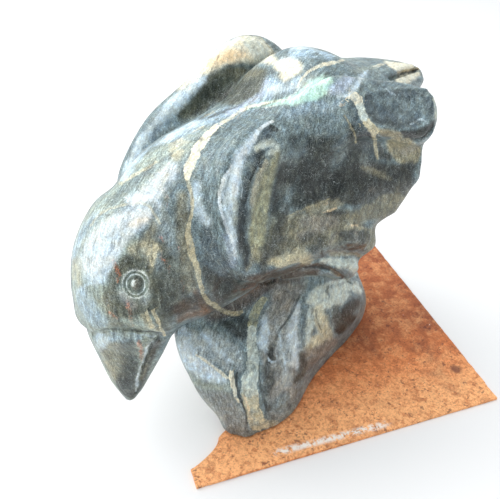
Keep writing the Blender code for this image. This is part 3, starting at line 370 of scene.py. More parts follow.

# Fine lines, a few of them painted highlights and painted shade: (tint, strength, path of (across, down,
# half width)) in the picture.
LINES = (
    # the long vein from the back, over the breast and under it
    ("cream", 0.9, ((286, 98, 0.6), (264, 104, 0.9), (246, 109, 1.2), (232, 116, 1.5), (220, 124, 1.9))),
    ("cream", 1.0, ((220, 124, 1.9), (208, 135, 2.9), (200, 146, 3.8), (194, 158, 4.8), (189, 168, 4.6),
                    (187, 178, 2.8))),
    ("straw", 0.9, ((187, 176, 2.6), (190, 190, 1.6), (192, 204, 1.5), (190, 216, 1.5), (188, 226, 1.8))),
    ("straw", 1.0, ((188, 222, 1.8), (189, 238, 2.8), (192, 250, 3.2), (195, 262, 2.8))),
    ("ochre", 0.7, ((187, 228, 0.8), (187, 238, 1.2), (190, 250, 1.1))),
    ("straw", 1.0, ((195, 258, 2.8), (198, 270, 2.5), (200, 282, 2.2), (203, 292, 2.2))),
    ("khaki", 1.0, ((202, 292, 1.6), (208, 301, 2.0), (216, 307, 2.2), (226, 312, 2.4), (236, 314, 2.2),
                    (244, 311, 1.2))),
    ("cream", 0.8, ((296, 88, 0.7), (303, 78, 0.9), (312, 70, 1.3), (326, 64, 1.6), (344, 60, 1.0))),
    ("pale green", 0.6, ((262, 108, 0.6), (276, 105, 0.8), (296, 92, 0.8), (300, 82, 0.7))),
    # the vein beside the wing's tip
    ("cream", 1.0, ((348, 94, 3.0), (355, 97, 5.2), (359, 104, 4.2))),
    ("pale green", 1.0, ((359, 104, 4.0), (362, 112, 3.6), (366, 120, 3.8))),
    ("straw", 1.0, ((366, 120, 3.8), (371, 127, 4.0), (376, 132, 2.6))),
    ("straw", 0.9, ((372, 130, 2.0), (375, 142, 1.6), (377, 154, 1.9), (379, 160, 0.9))),
    ("warm", 0.7, ((340, 105, 2.0), (343, 107, 1.4))),
    ("khaki", 0.8, ((344, 116, 0.5), (350, 124, 0.9), (354, 134, 0.7), (356, 144, 0.5))),
    ("khaki", 0.7, ((286, 218, 0.6), (296, 213, 0.8), (306, 208, 0.7), (318, 203, 0.7), (330, 198, 0.6))),
    ("warm", 0.6, ((322, 212, 0.6), (330, 210, 1.0), (338, 208, 0.8))),
    ("warm", 0.6, ((350, 226, 0.8), (358, 225, 1.0))),
    # the head's thin veins
    ("straw", 0.45, ((88, 228, 0.7), (98, 216, 1.1), (108, 209, 1.2), (120, 205, 1.1), (136, 203, 1.2),
                    (147, 206, 1.0), (154, 214, 1.0), (161, 224, 0.9))),
    ("straw", 0.55, ((118, 185, 0.8), (132, 176, 1.4), (146, 168, 1.2), (158, 160, 1.0))),
    ("straw", 0.9, ((152, 243, 0.8), (156, 246, 3.0), (155, 254, 2.2), (152, 266, 1.4))),
    ("straw", 0.9, ((145, 310, 1.1), (148, 318, 1.9), (152, 328, 2.0))),
    ("straw", 0.9, ((153, 309, 1.7), (156, 317, 1.4), (160, 326, 1.2), (164, 335, 1.2))),
    ("straw", 0.6, ((168, 146, 1.2), (176, 142, 1.6), (184, 139, 1.0))),
    ("straw", 0.6, ((170, 158, 0.8), (178, 152, 1.4), (184, 150, 0.8))),
    ("straw", 0.5, ((190, 134, 0.5), (198, 129, 0.9), (206, 125, 0.7))),
    ("sky", 0.45, ((76, 298, 0.6), (79, 291, 0.9), (86, 286, 0.9), (96, 283, 0.8), (105, 281, 0.5))),
    ("sky", 0.5, ((96, 336, 0.8), (110, 333, 1.0), (128, 333, 0.8), (144, 336, 0.8), (156, 336, 0.6))),
    # painted highlight along the edge of the mouth's raised lip
    ("white", 0.85, ((152, 340, 0.5), (148, 346, 0.8), (145, 354, 0.8), (142, 362, 0.8), (139, 372, 0.9),
                    (137, 382, 0.9), (135, 392, 0.8))),
    # the ridge's pale lines: painted highlights along its edges
    ("white", 0.95, ((274, 121, 1.2), (264, 127, 1.6), (256, 134, 1.6), (249, 144, 2.2), (242, 156, 2.6),
                     (237, 168, 3.0), (235, 182, 3.0), (234, 194, 2.4))),
    ("white", 0.9, ((232, 164, 0.6), (226, 174, 0.9), (222, 186, 1.3), (219, 198, 1.6), (221, 210, 1.2),
                    (225, 222, 1.1), (229, 234, 1.1), (233, 246, 1.3), (235, 258, 1.0))),
    ("sky", 0.7, ((240, 158, 0.6), (232, 172, 0.8), (228, 188, 0.8), (226, 200, 0.8))),
    ("sky", 0.7, ((229, 200, 0.8), (230, 216, 0.8), (234, 230, 0.8), (237, 244, 0.8))),
    ("sky", 0.6, ((240, 172, 0.7), (242, 186, 0.6), (241, 198, 0.5))),
    # the rock's tall vein, and the thin one beside it
    ("moss", 0.95, ((265, 299, 2.4), (259, 306, 4.2), (254, 318, 4.6), (252, 330, 4.2))),
    ("pale green", 1.0, ((252, 328, 4.2), (252, 342, 4.6), (253, 356, 5.0), (252, 370, 6.0),
                         (250, 382, 7.6),
                         (249, 394, 7.8))),
    ("straw", 1.0, ((249, 392, 7.8), (251, 404, 7.8), (255, 416, 8.2), (260, 428, 7.0))),
    ("straw", 0.9, ((262, 424, 5.0), (270, 423, 3.6), (279, 421, 1.4))),
    ("cream", 0.9, ((194, 353, 0.6), (203, 359, 0.9), (212, 366, 1.2), (222, 374, 1.6), (228, 379, 1.6))),
    ("cream", 1.0, ((231, 370, 1.4), (232, 378, 2.4), (234, 387, 2.2), (236, 396, 1.2), (239, 403, 0.6))),
    ("warm", 0.6, ((244, 396, 0.8), (248, 408, 1.2), (250, 420, 1.0))),
    # pale streaks on the rock and under the wing
    ("sky", 0.8, ((266, 322, 0.8), (268, 332, 1.2), (265, 342, 1.0), (268, 350, 0.8))),
    ("sky", 0.8, ((268, 357, 0.6), (272, 362, 1.2), (277, 360, 0.9), (277, 354, 0.6))),
    ("sky", 0.6, ((278, 332, 0.6), (281, 344, 0.9), (284, 356, 0.8), (286, 372, 0.6))),
    ("sky", 0.5, ((190, 332, 0.6), (189, 344, 0.8))),
    ("sky", 0.5, ((296, 320, 0.6), (293, 336, 0.7), (290, 352, 0.6))),
    ("warm grey", 0.7, ((236, 120, 0.4), (258, 96, 0.5))),
    ("cream", 0.5, ((372, 66, 0.5), (380, 65, 1.0), (386, 64, 0.6))),
    ("sky", 0.6, ((342, 97, 0.8), (352, 92, 1.0), (358, 84, 1.2), (362, 76, 1.2), (370, 70, 0.8))),
    ("sky", 0.5, ((384, 88, 0.5), (390, 92, 0.7), (396, 96, 0.5))),
    ("sky", 0.5, ((410, 124, 0.6), (420, 120, 0.8), (428, 124, 0.6))),
    ("khaki", 0.8, ((258, 36, 0.4), (266, 44, 0.6), (274, 54, 0.6))),
    ("khaki", 0.6, ((206, 115, 0.4), (214, 112, 0.8), (200, 118, 0.6))),
    # dark lines and blots
    ("ink", 0.9, ((270, 128, 2.0), (274, 129, 3.0), (279, 131, 1.4))),
    ("ink", 0.6, ((266, 137, 2.4), (272, 138, 2.0))),
    ("ink", 1.0, ((264, 154, 1.6), (261, 159, 2.6), (260, 164, 1.8), (262, 168, 1.0))),
    ("ink", 0.8, ((256, 166, 1.0), (252, 176, 1.0), (248, 190, 0.9), (245, 204, 0.9))),
    ("ink", 0.7, ((240, 222, 1.2), (241, 234, 1.7), (243, 244, 2.6), (248, 249, 2.6), (246, 258, 1.8),
                  (245, 268, 1.2))),
    ("ink", 0.9, ((237, 372, 0.7), (237, 384, 1.2), (238, 392, 1.2), (242, 404, 0.9), (246, 416, 0.8),
                  (248, 426, 1.0),
           (249, 434, 0.8))),
    ("ink", 0.8, ((300, 294, 0.8), (296, 304, 1.2), (290, 314, 1.3), (283, 324, 1.0), (277, 335, 0.9),
                  (274, 346, 0.9))),
    ("ink", 0.9, ((273, 348, 1.0), (271, 355, 2.2), (275, 358, 1.4))),
    ("ink", 0.6, ((258, 366, 0.8), (260, 384, 1.0), (264, 400, 1.2), (268, 412, 1.0))),
    ("ink", 0.6, ((315, 310, 0.6), (317, 320, 0.8), (321, 330, 0.7))),
    ("ink", 0.9, ((393, 77, 0.9), (403, 74, 0.9), (414, 70, 0.8), (422, 67, 0.5))),
    ("ink", 0.9, ((148, 308, 0.8), (149, 312, 1.0))),
    ("ink", 0.7, ((196, 121, 0.5), (212, 116, 0.8), (228, 110, 0.7), (242, 106, 0.5))),
    ("ink", 0.6, ((277, 100, 0.5), (262, 106, 0.6), (246, 111, 0.5))),
    ("ink", 0.7, ((322, 250, 1.0), (322, 257, 1.2))),
    ("ink", 0.8, ((154, 342, 1.0), (150, 350, 1.2), (146, 360, 1.0), (142, 374, 0.8))),
    ("ink", 0.7, ((98, 330, 0.5), (112, 329, 0.8), (130, 330, 0.9), (148, 332, 0.9), (160, 334, 0.6))),
    # painted shade in the recess above the eye
    ("ink", 0.6, ((124, 272, 0.8), (130, 268, 1.0), (140, 268, 0.8))),
    # painted shade in the crease under the lobe
    ("ink", 0.8, ((300, 268, 0.6), (320, 267, 0.9), (336, 273, 0.9), (352, 283, 0.9), (356, 280, 0.5))),
    ("ink", 0.5, ((288, 256, 0.5), (292, 250, 0.7), (298, 244, 0.5))),
    ("ink", 0.6, ((342, 228, 0.6), (340, 240, 0.8), (344, 250, 0.6))),
    ("ink", 0.5, ((303, 296, 0.6), (306, 310, 0.8), (303, 330, 0.7), (301, 344, 0.5))),
)

# Rusty stains: (strength, path of (across, down, half width)) in the picture.
STAINS = (
    (1.0, ((114, 261, 1.8), (117, 268, 2.6), (120, 275, 2.0))),
    (0.8, ((117, 276, 1.4), (118, 282, 1.0))),
    (1.0, ((127, 302, 2.2), (129, 310, 2.2), (131, 318, 1.8), (133, 325, 1.4))),
    (0.9, ((110, 312, 2.6), (116, 317, 2.8))),
    (0.7, ((108, 304, 1.4), (112, 310, 1.4))),
    (0.9, ((160, 237, 2.2), (165, 242, 2.0))),
    (0.8, ((163, 221, 1.2), (167, 226, 1.4))),
    (0.8, ((160, 254, 1.6), (165, 262, 2.2), (169, 272, 1.6))),
    (0.7, ((166, 190, 1.6), (168, 204, 1.8), (168, 216, 1.4))),
    (1.0, ((138, 341, 1.8), (141, 350, 2.8), (141, 359, 1.8))),
    (0.6, ((176, 222, 1.2), (180, 250, 1.4), (183, 280, 1.8), (184, 300, 2.0))),
    (0.3, ((188, 316, 2.6), (200, 314, 3.0), (212, 318, 2.4))),
    (0.6, ((322, 203, 1.4), (332, 204, 1.8))),
    (0.5, ((344, 251, 0.8), (356, 254, 0.9))),
    (0.5, ((234, 292, 2.4), (248, 288, 2.6))),
)

# Lines on the sides that the picture doesn't show: (tint, strength, path of (x, y, z, half width)), on
# the grid.
HIDDEN_LINES = (
    ("khaki", 1.0, ((36, -130, 96, 1.2), (26, -146, 90, 1.5), (12, -160, 88, 1.4), (-6, -168, 96, 1.2),
                    (-22, -168, 112, 1.3), (-34, -158, 134, 1.0))),
    ("cream", 0.9, ((-66, -132, 180, 0.8), (-72, -104, 164, 1.8), (-70, -72, 152, 1.2),
                    (-70, -40, 132, 2.2),
                    (-64, -24, 112, 1.0))),
    ("straw", 0.9, ((-60, -44, 108, 1.0), (-46, -30, 84, 1.8), (-46, -40, 50, 3.0), (-44, -30, 4, 4.0))),
    ("cream", 0.9, ((-24, 6, 168, 1.2), (-8, 20, 160, 2.0), (12, 26, 166, 1.4), (34, 18, 176, 0.8))),
    ("pale green", 0.9, ((-12, 8, 62, 1.2), (-2, 16, 34, 2.4), (6, 24, 4, 3.2))),
    ("sky", 0.8, ((-60, -140, 160, 1.0), (-70, -110, 190, 1.4), (-72, -60, 204, 1.6))),
    ("sky", 0.7, ((-44, -80, 60, 1.2), (-42, -96, 34, 2.0), (-36, -100, 6, 1.2))),
    ("sky", 0.7, ((-30, -176, 160, 1.0), (-34, -190, 130, 1.3), (-26, -200, 100, 1.0))),
    ("straw", 0.7, ((-22, -206, 176, 0.8), (-30, -206, 160, 1.0), (-32, -200, 140, 0.8))),
    ("ink", 0.8, ((-70, -120, 150, 1.4), (-72, -80, 176, 2.2), (-70, -30, 176, 1.4))),
    ("ink", 0.7, ((-40, -50, 70, 1.2), (-46, -70, 40, 1.8), (-42, -60, 10, 1.6))),
    ("ink", 0.7, ((20, 20, 150, 1.0), (6, 8, 120, 1.6), (-10, 0, 100, 1.2))),
)

# Rusty stains there: (strength, path).
HIDDEN_STAINS = (
    (0.9, ((-24, -212, 152, 2.0), (-27, -208, 134, 2.6), (-23, -208, 114, 1.6))),
    (0.8, ((-34, -178, 120, 2.4), (-36, -168, 100, 2.0))),
)

# How many sets the fine lines are shared out to.
LINE_SETS = 5

# Fine strokes of the chisel, on the picture: (path of (across, down), radius and height in mm).
PICTURE_STROKES = (
    # the crease at the beak's base, and the mouth with its raised lip
    (((94, 336), (106, 331), (126, 330), (144, 332), (158, 335), (166, 337)), 4.2, -1.3),
    (((99, 346), (112, 343), (128, 342), (144, 345)), 5.5, 0.9),
    (((155, 339), (150, 346), (147, 354), (144, 362), (141, 372), (138, 384), (136, 393)), 1.3, -1.2),
    (((151, 341), (147, 348), (144, 356), (141, 365), (138, 376), (136, 386)), 1.2, 0.35),
    # the split in the tail's tip
    (((390, 78), (402, 74), (413, 70.5), (424, 67)), 2.6, -4.2),
    (((398, 68), (410, 66), (420, 64)), 3.0, 0.6),
    # the edges under the wing: its lower lip, the lobe and the creases round it
    (((246, 286), (268, 282), (288, 275), (304, 268), (322, 267), (337, 273), (351, 283)), 2.6, -1.4),
    (((314, 262), (326, 258), (340, 255), (352, 256), (362, 259)), 2.4, -1.1),
    (((334, 266), (346, 264), (356, 266), (357, 276)), 4.0, 0.8),
    (((340, 251), (354, 255), (366, 254)), 2.0, -0.6),
    (((348, 240), (362, 243)), 6.0, 0.7),
    # the wing's front ridge and the grooves beside it
    (((272, 121), (258, 133), (246, 149), (238, 168), (234, 190), (233, 206)), 3.0, 0.5),
    (((264, 152), (256, 166), (249, 182), (244, 200), (242, 222), (244, 246)), 3.6, -0.5),
    (((226, 176), (224, 190), (223, 206), (227, 224), (232, 242)), 2.6, -0.3),
    # the wing's tip: its flat end and the ledge under it
    (((396, 139), (412, 141), (424, 138), (433, 130)), 5.0, -2.0),
    (((372, 124), (386, 129), (402, 130), (418, 128), (430, 122)), 2.2, 0.7),
    (((366, 96), (384, 91), (404, 89), (426, 90)), 2.4, 0.8),
    (((432, 97), (433, 108), (432, 120)), 2.6, 0.6),
    # the hollow dent and the wavy grooves on the rock
    (((269, 352), (272, 358), (277, 356)), 2.6, -1.2),
    (((300, 295), (292, 312), (283, 324), (276, 337), (273, 350)), 1.8, -0.5),
    (((238, 392), (243, 406), (248, 420), (250, 433)), 2.4, 0.6),
    (((236, 372), (238, 386), (240, 398)), 1.6, -0.5),
    (((316, 308), (318, 322), (322, 334)), 2.0, -0.4),
)

# The same on the grid, and in the head's own measures.
FINE_STROKES = (
    # the groove of the tail's tip
    (((14, 40, 200), (10, 56, 197), (6, 72, 192), (4, 86, 187)), 3.0, -1.6),
    # the crest of the wing's front ridge
    (((54, -140, 142), (53, -152, 160), (50, -159, 184), (45, -156, 202), (38, -144, 213)), 4.5, 1.0),
    # the crease between the wing's underside and the rock
    (((22, -160, 90), (27, -146, 88), (30, -130, 90), (32, -114, 95), (33, -98, 98),
      (34, -84, 99)), 5, -1.5),
    # the notch in the wing's outline
    (((52, -5, 107), (57, -16, 113), (59, -28, 117)), 15, -7.0),
    # the edge of the wing's tip
    (((60, -57, 209), (63, -42, 204), (66, -20, 196), (67, 2, 188)), 3.5, 1.2),
)
FINE_HEAD_STROKES = (
    (((0, 29, 30), (14, 27, 28), (27, 19, 22), (34, 17, 12), (35, 20, 4), (33, 26, -6)), 3.0, -0.7),
    (((33, 26, 0), (24, 40, 1), (18, 54, 2), (12, 71, 4), (5, 86, 5)), 1.8, -1.0),
)

# The eye in the head's own measures, and its inner ring, pupil and glint as shares of the outer ring.
EYE_MIDDLE = (36.5, -15, 8.2)
EYE_LOOK = (0.85, -0.3, 0.43)
EYE_DEPTH = 0.012  # metres in front of the eye and behind it that still belong to it
INNER_RING = (0.69, 0.74)
PUPIL = (0.35, 0.45)
GLINT = (0.20, 0.26)
PUPIL_SHIFT = 0.0005  # metres that the dark pupil lies off the middle
GLINT_SHIFT = (0.0010, 0.0012)  # metres, across and up

# The wandering of the stone's layers: waves per metre, and metres moved.
BROAD_WAVE, BROAD_REACH = 90, 0.0011
FINE_WAVE, FINE_REACH = 300, 0.0006
LAYER_SEED = 11  # keeps the wandering the same in every run

# What the camera sees: a face turned this far towards it counts in full, and less than HIDDEN as not seen.
FULL_FACING = 0.20
HIDDEN = 0.05
RAY_START = 0.0012  # metres off the surface, where a line of sight starts

# How far washes and lines may run on past their half width on the solid, with margins in metres.
WASH_REACH, WASH_SLACK, WASH_MARGIN = 2.2, 0.003, 0.005
LINE_REACH, LINE_SLACK, LINE_MARGIN = 2.5, 0.006, 0.009
PIXEL_ABOUT = 0.0008  # metres that one pixel of the picture covers on the carving, roughly
STAIN_SOFT = 3.0  # pixels
STAIN_EDGE = 0.004  # metres

# Distances to a line in mm: none near, near enough to be stored, and near enough for its width to count.
NO_LINE, LINE_NEAR, LINE_TOUCH = 9.0, 5.0, 2.4

# Ways across and along the stone's layers.
LAYER_WAYS = ((0.94, 0.31, 0.14), (-0.10, 0.62, -0.78), (-0.32, 0.72, 0.61))

# The plate: the way to its front edge and the way along it, the row of scuffs and the dark spot, in mm.
TO_FRONT = (0.899, -0.437, 0.0)
ALONG_FRONT = (0.437, 0.899, 0.0)
SCUFF_ROW = 109.1
DARK_SPOT = (107.6, 44.9, 2.3)
BROAD_BITE, FINE_BITE = 160, 520  # waves per metre of the worn edge

# The stage: the floor, the softboxes as (name, place, size, share of the top light), and what they aim at.
FLOOR_SIZE = 8.0
FLOOR_DROP = 0.0003
SKY_COLOUR = (0.945, 0.975, 1.0, 1)
SOFTBOXES = (
    ("overhead softbox", (-0.35, -0.15, 1.15), 1.1, 1.0),
    ("side softbox", (-0.9, -0.7, 0.75), 0.9, 0.5),
)
LIGHT_AIM = Vector((0, -0.05, 0.10))


def screen_colour(red, green, blue):
    """A colour picked on a screen, as the light it stands for."""
    parts = [value / 255 for value in (red, green, blue)]
    return [c / 12.92 if c <= 0.04045 else ((c + 0.055) / 1.055) ** 2.4 for c in parts]


def on_grid(point):
    return GRID_PLACE + Vector(point) * GRID_STEP


def on_head(side, along, crown):
    """A place in metres, from the head's own measures: to its side, down the beak and to the crown."""
    across = (HEAD_SIDE - HEAD_AXIS * HEAD_SIDE.dot(HEAD_AXIS)).normalized()
    place = HEAD_MIDDLE + across * side + HEAD_AXIS * along + HEAD_AXIS.cross(across) * crown
    return on_grid(place)


def deselect_all():
    if bpy.context.object and bpy.context.object.mode != "OBJECT":
        bpy.ops.object.mode_set(mode="OBJECT")
    bpy.ops.object.select_all(action="DESELECT")


def pick(obj):
    """Makes one object the selected and active one."""
    deselect_all()
    obj.select_set(True)
    bpy.context.view_layer.objects.active = obj


def edit_all(piece, operator, **settings):
    """Runs one mesh operator on the whole of a piece."""
    pick(piece)
    bpy.ops.object.mode_set(mode="EDIT")
    bpy.ops.mesh.select_all(action="SELECT")
    operator(**settings)
    bpy.ops.object.mode_set(mode="OBJECT")


def copy_of_node(node, name):
    """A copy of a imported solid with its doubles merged, ready to be worked on."""
    pick(frame["nodes"][node])
    bpy.ops.object.duplicate()
    piece = bpy.context.object
    piece.name = name
    piece.data.name = name
    for key in list(piece.keys()):
        del piece[key]
    bpy.ops.object.parent_clear(type="CLEAR_KEEP_TRANSFORM")
    edit_all(piece, bpy.ops.mesh.remove_doubles, threshold=0.00001)
    if piece.data.has_custom_normals:
        bpy.ops.mesh.customdata_custom_splitnormals_clear()
    return piece


def apply_modifier(obj, name, kind, **settings):
    pick(obj)
    modifier = obj.modifiers.new(name, kind)
    for key, value in settings.items():
        setattr(modifier, key, value)
    bpy.ops.object.modifier_apply(modifier=name)


def read_points(mesh):
    points = np.empty(len(mesh.vertices) * 3)
    mesh.vertices.foreach_get("co", points)
    return points.reshape(-1, 3)


def read_normals(mesh):
    normals = np.empty(len(mesh.vertices) * 3)
    mesh.vertex_normals.foreach_get("vector", normals)
    return normals.reshape(-1, 3)


def write_points(mesh, points):
    mesh.vertices.foreach_set("co", np.ravel(points))
    mesh.update()


def distance_to_path(points, path):
    """How far each point is from a path, and the path's half width at the nearest place."""
    path = np.array(path, float)
    nearest = np.full(len(points), 1e9)
    width = np.zeros(len(points))
    for start, end in zip(path, path[1:]):
        run = end[:-1] - start[:-1]
        along = np.clip((points - start[:-1]) @ run / max(run @ run, 1e-12), 0, 1)
        away = np.linalg.norm(points - start[:-1] - along[:, None] * run, axis=1)
        closer = away < nearest
        nearest[closer] = away[closer]
        width[closer] = (start[-1] + along * (end[-1] - start[-1]))[closer]
    return nearest, width


def smooth_path(path, steps=6):
    """More points on a smooth curve through the path's points."""
    table = np.array(path, float)
    if len(table) < 3:
        return table
    ends = np.vstack([2 * table[0] - table[1], table, 2 * table[-1] - table[-2]])
    drawn = []
    for i in range(1, len(ends) - 2):
        before, start, end, after = ends[i - 1 : i + 3]
        for t in np.arange(steps) / steps:
            drawn.append(
                0.5 * (2 * start + (end - before) * t
                       + (2 * before - 5 * start + 4 * end - after) * t ** 2
                       + (3 * start - before - 3 * end + after) * t ** 3)
            )
    drawn.append(ends[-2])
    return np.array(drawn)


def grid_path(path):
    """A path on the grid, with its half widths, as a smooth one in metres."""
    return np.array([(*on_grid(row[:3]), row[3] * GRID_STEP) for row in smooth_path(path, 6)])


def across_path(points, path, normals=None):
    """How far each point lies to the right of a path, and the path's half width there, 0 past its ends.

    The path is flat when there are no normals, and lies on a surface when there are."""
    nearest = np.full(len(points), 1e9)
    across, width = np.zeros(len(points)), np.zeros(len(points))
    for i, (start, end) in enumerate(zip(path, path[1:])):
        run = end[:-1] - start[:-1]
        length = max(np.linalg.norm(run), 1e-9)
        offset = points - start[:-1]
        free = offset @ run / length ** 2
        along = np.clip(free, 0, 1)
        away = np.linalg.norm(offset - along[:, None] * run, axis=1)
        if normals is None:
            right = run[0] * offset[:, 1] - run[1] * offset[:, 0]
        else:
            right = np.einsum("ij,ij->i", np.cross(run, normals), offset)
        over = np.zeros(len(points))
        if i == 0:
            over = np.maximum(over, -free * length)
        if i == len(path) - 2:
            over = np.maximum(over, (free - 1) * length)
        half = start[-1] + along * (end[-1] - start[-1]) - 1.5 * over
        closer = away < nearest
        nearest[closer] = away[closer]
        across[closer] = (np.sign(right) * away)[closer]
        width[closer] = half[closer]
    return across, np.maximum(width, 0)


def press(piece, path, radius, height):
    """Raises or cuts the surface along a path in metres, by a height and within a radius in mm."""
    points, normals = read_points(piece.data), read_normals(piece.data)
    away, _ = distance_to_path(points, [(*place, 0.0) for place in path])
    weight = np.clip(1 - (away / (radius * GRID_STEP)) ** 2, 0, 1) ** 2
    write_points(piece.data, points + normals * (weight * height * GRID_STEP)[:, None])


def chisel(piece, strokes):
    """Strokes on the carver's grid: (path, radius, height), all in mm."""
    for path, radius, height in strokes:
        press(piece, [on_grid(p) for p in smooth_path(path, 8)], radius, height)


def chisel_head(piece, strokes):
    """Strokes in the head's own measures, on both of its sides."""
    for path, radius, height in strokes:
        for side in (1, -1):
            press(piece, [on_head(side * a, b, c) for a, b, c in smooth_path(path, 8)], radius, height)


def chisel_picture(piece, stage, strokes):
    """Strokes drawn on the picture, cut where they fall on the carving."""
    picture = Picture(piece, stage)
    cuts = []
    for path, radius, height in strokes:
        hits = [picture.cast(across, down) for across, down in smooth_path(path, 4)]
        cuts.append(([hit for hit in hits if hit is not None], radius, height))
    near = np.zeros(len(picture.points), bool)
    for path, radius, _ in cuts:
        away, _ = distance_to_path(picture.points, [(*place, 0.0) for place in path])
        near |= away < (radius + 1.5) * GRID_STEP
    finer(piece, near)
    for path, radius, height in cuts:
        press(piece, path, radius, height)


def finer(piece, chosen):
    """Halves the faces between the chosen vertices."""
    pick(piece)
    bpy.ops.object.mode_set(mode="EDIT")
    bpy.ops.mesh.select_mode(type="VERT")
    bpy.ops.mesh.select_all(action="DESELECT")
    bpy.ops.object.mode_set(mode="OBJECT")
    piece.data.vertices.foreach_set("select", chosen)
    bpy.ops.object.mode_set(mode="EDIT")
    bpy.ops.mesh.select_mode(type="FACE")
    bpy.ops.mesh.subdivide(number_cuts=1, smoothness=0.3)
    bpy.ops.object.mode_set(mode="OBJECT")


class StoneSettings(bpy.types.PropertyGroup):
    grain: bpy.props.FloatProperty(
        name="Grain", description="Size of the faces that the carving is refined to",
        default=0.0018, min=0.0015, max=0.004, unit="LENGTH",
    )
    softening: bpy.props.IntProperty(
        name="Softening", description="Rounds of smoothing that take the flats out of the solid",
        default=10, min=0, max=40,
    )
    eye_width: bpy.props.FloatProperty(
        name="Eye width", description="Half width of the eye's outer ring",
        default=0.0068, min=0.003, max=0.012, unit="LENGTH",
    )
    eye_height: bpy.props.FloatProperty(
        name="Eye height", description="Half height of the eye's outer ring",
        default=0.0077, min=0.003, max=0.014, unit="LENGTH",
    )
    ring_relief: bpy.props.FloatProperty(
        name="Ring relief", description="How far the eye's rings are cut and raised",
        default=0.0008, min=0.0, max=0.002, unit="LENGTH",
    )
    speck: bpy.props.FloatVectorProperty(
        name="Light speck", description="Colour of the light specks and the eye's rings",
        default=screen_colour(212, 222, 222), subtype="COLOR", size=3, min=0, max=1,
    )
    dark: bpy.props.FloatVectorProperty(
        name="Dark line", description="Colour of the dark lines and blots",
        default=screen_colour(38, 44, 46), subtype="COLOR", size=3, min=0, max=1,
    )
    rust: bpy.props.FloatVectorProperty(
        name="Iron stain", description="Colour of the iron stains in the stone",
        default=screen_colour(176, 96, 58), subtype="COLOR", size=3, min=0, max=1,
    )
    polish: bpy.props.FloatProperty(
        name="Roughness", description="Roughness of the polished stone",
        default=0.40, min=0.05, max=1.0, subtype="FACTOR",
    )
    depth: bpy.props.FloatProperty(
        name="Wax depth", description="How much the wax takes off the stone's low tones",
        default=0.018, min=0.0, max=0.1, subtype="FACTOR",
    )


class PlateSettings(bpy.types.PropertyGroup):
    edge_wear: bpy.props.FloatProperty(
        name="Edge wear", description="How far rust has eaten into the plate's edges",
        default=0.0006, min=0.0, max=0.003, unit="LENGTH",
    )
    edge_step: bpy.props.FloatProperty(
        name="Edge step", description="Distance between the points of the worn edge",
        default=0.0016, min=0.0008, max=0.01, unit="LENGTH",
    )
    rust: bpy.props.FloatVectorProperty(
        name="Rust", description="Main colour of the rust",
        default=screen_colour(226, 136, 82), subtype="COLOR", size=3, min=0, max=1,
    )
    # fresh orange rust, also laid towards the plate's front edge as painted light
    bright_rust_and_light: bpy.props.FloatVectorProperty(
        name="Bright rust", description="Colour of the fresh orange rust",
        default=screen_colour(255, 190, 132), subtype="COLOR", size=3, min=0, max=1,
    )
    # old brown rust, also laid towards the plate's back as painted shade
    old_rust_and_shade: bpy.props.FloatVectorProperty(
        name="Old rust", description="Colour of the old brown rust",
        default=screen_colour(146, 84, 58), subtype="COLOR", size=3, min=0, max=1,
    )
    speck: bpy.props.FloatVectorProperty(
        name="Scale specks", description="Colour of the dark specks of scale",
        default=screen_colour(96, 58, 54), subtype="COLOR", size=3, min=0, max=1,
    )
    scuff: bpy.props.FloatVectorProperty(
        name="Scuffs", description="Colour of the white scuffs",
        default=screen_colour(250, 240, 230), subtype="COLOR", size=3, min=0, max=1,
    )


class StageSettings(bpy.types.PropertyGroup):
    floor: bpy.props.FloatVectorProperty(
        name="Floor", description="Colour of the floor",
        default=screen_colour(238, 238, 238), subtype="COLOR", size=3, min=0, max=1,
    )
    sky: bpy.props.FloatProperty(
        name="Sky light", description="Strength of the light from all round",
        default=0.80, min=0.0, max=5.0,
    )
    top_light: bpy.props.FloatProperty(
        name="Top light", description="Power of the soft light above",
        default=12.0, min=0.0, max=200.0, unit="POWER",
    )
    azimuth: bpy.props.FloatProperty(
        name="Azimuth", description="How far the camera has gone round from the crow's front",
        default=math.radians(47.0), unit="ROTATION",
    )
    elevation: bpy.props.FloatProperty(
        name="Elevation", description="How high the camera looks from",
        default=math.radians(37.5), unit="ROTATION",
    )
    distance: bpy.props.FloatProperty(
        name="Distance", description="From the camera to the point it looks at",
        default=0.66, min=0.1, max=5.0, unit="LENGTH",
    )
    target: bpy.props.FloatVectorProperty(
        name="Target", description="The point that the camera looks at",
        default=(-0.1115, 0.032, 0.002), subtype="XYZ", size=3, unit="LENGTH",
    )
    lens: bpy.props.FloatProperty(
        name="Lens", description="Focal length in millimetres on a 36 mm sensor",
        default=50.4, min=10.0, max=300.0,
    )


def camera_frame(stage):
    """The camera's place and its backward, right and up directions."""
    a, e = stage.azimuth, stage.elevation
    back = Vector((math.sin(a) * math.cos(e), -math.cos(a) * math.cos(e), math.sin(e)))
    right = Vector((math.cos(a), math.sin(a), 0))
    return Vector(stage.target) + back * stage.distance, back, right, back.cross(right)


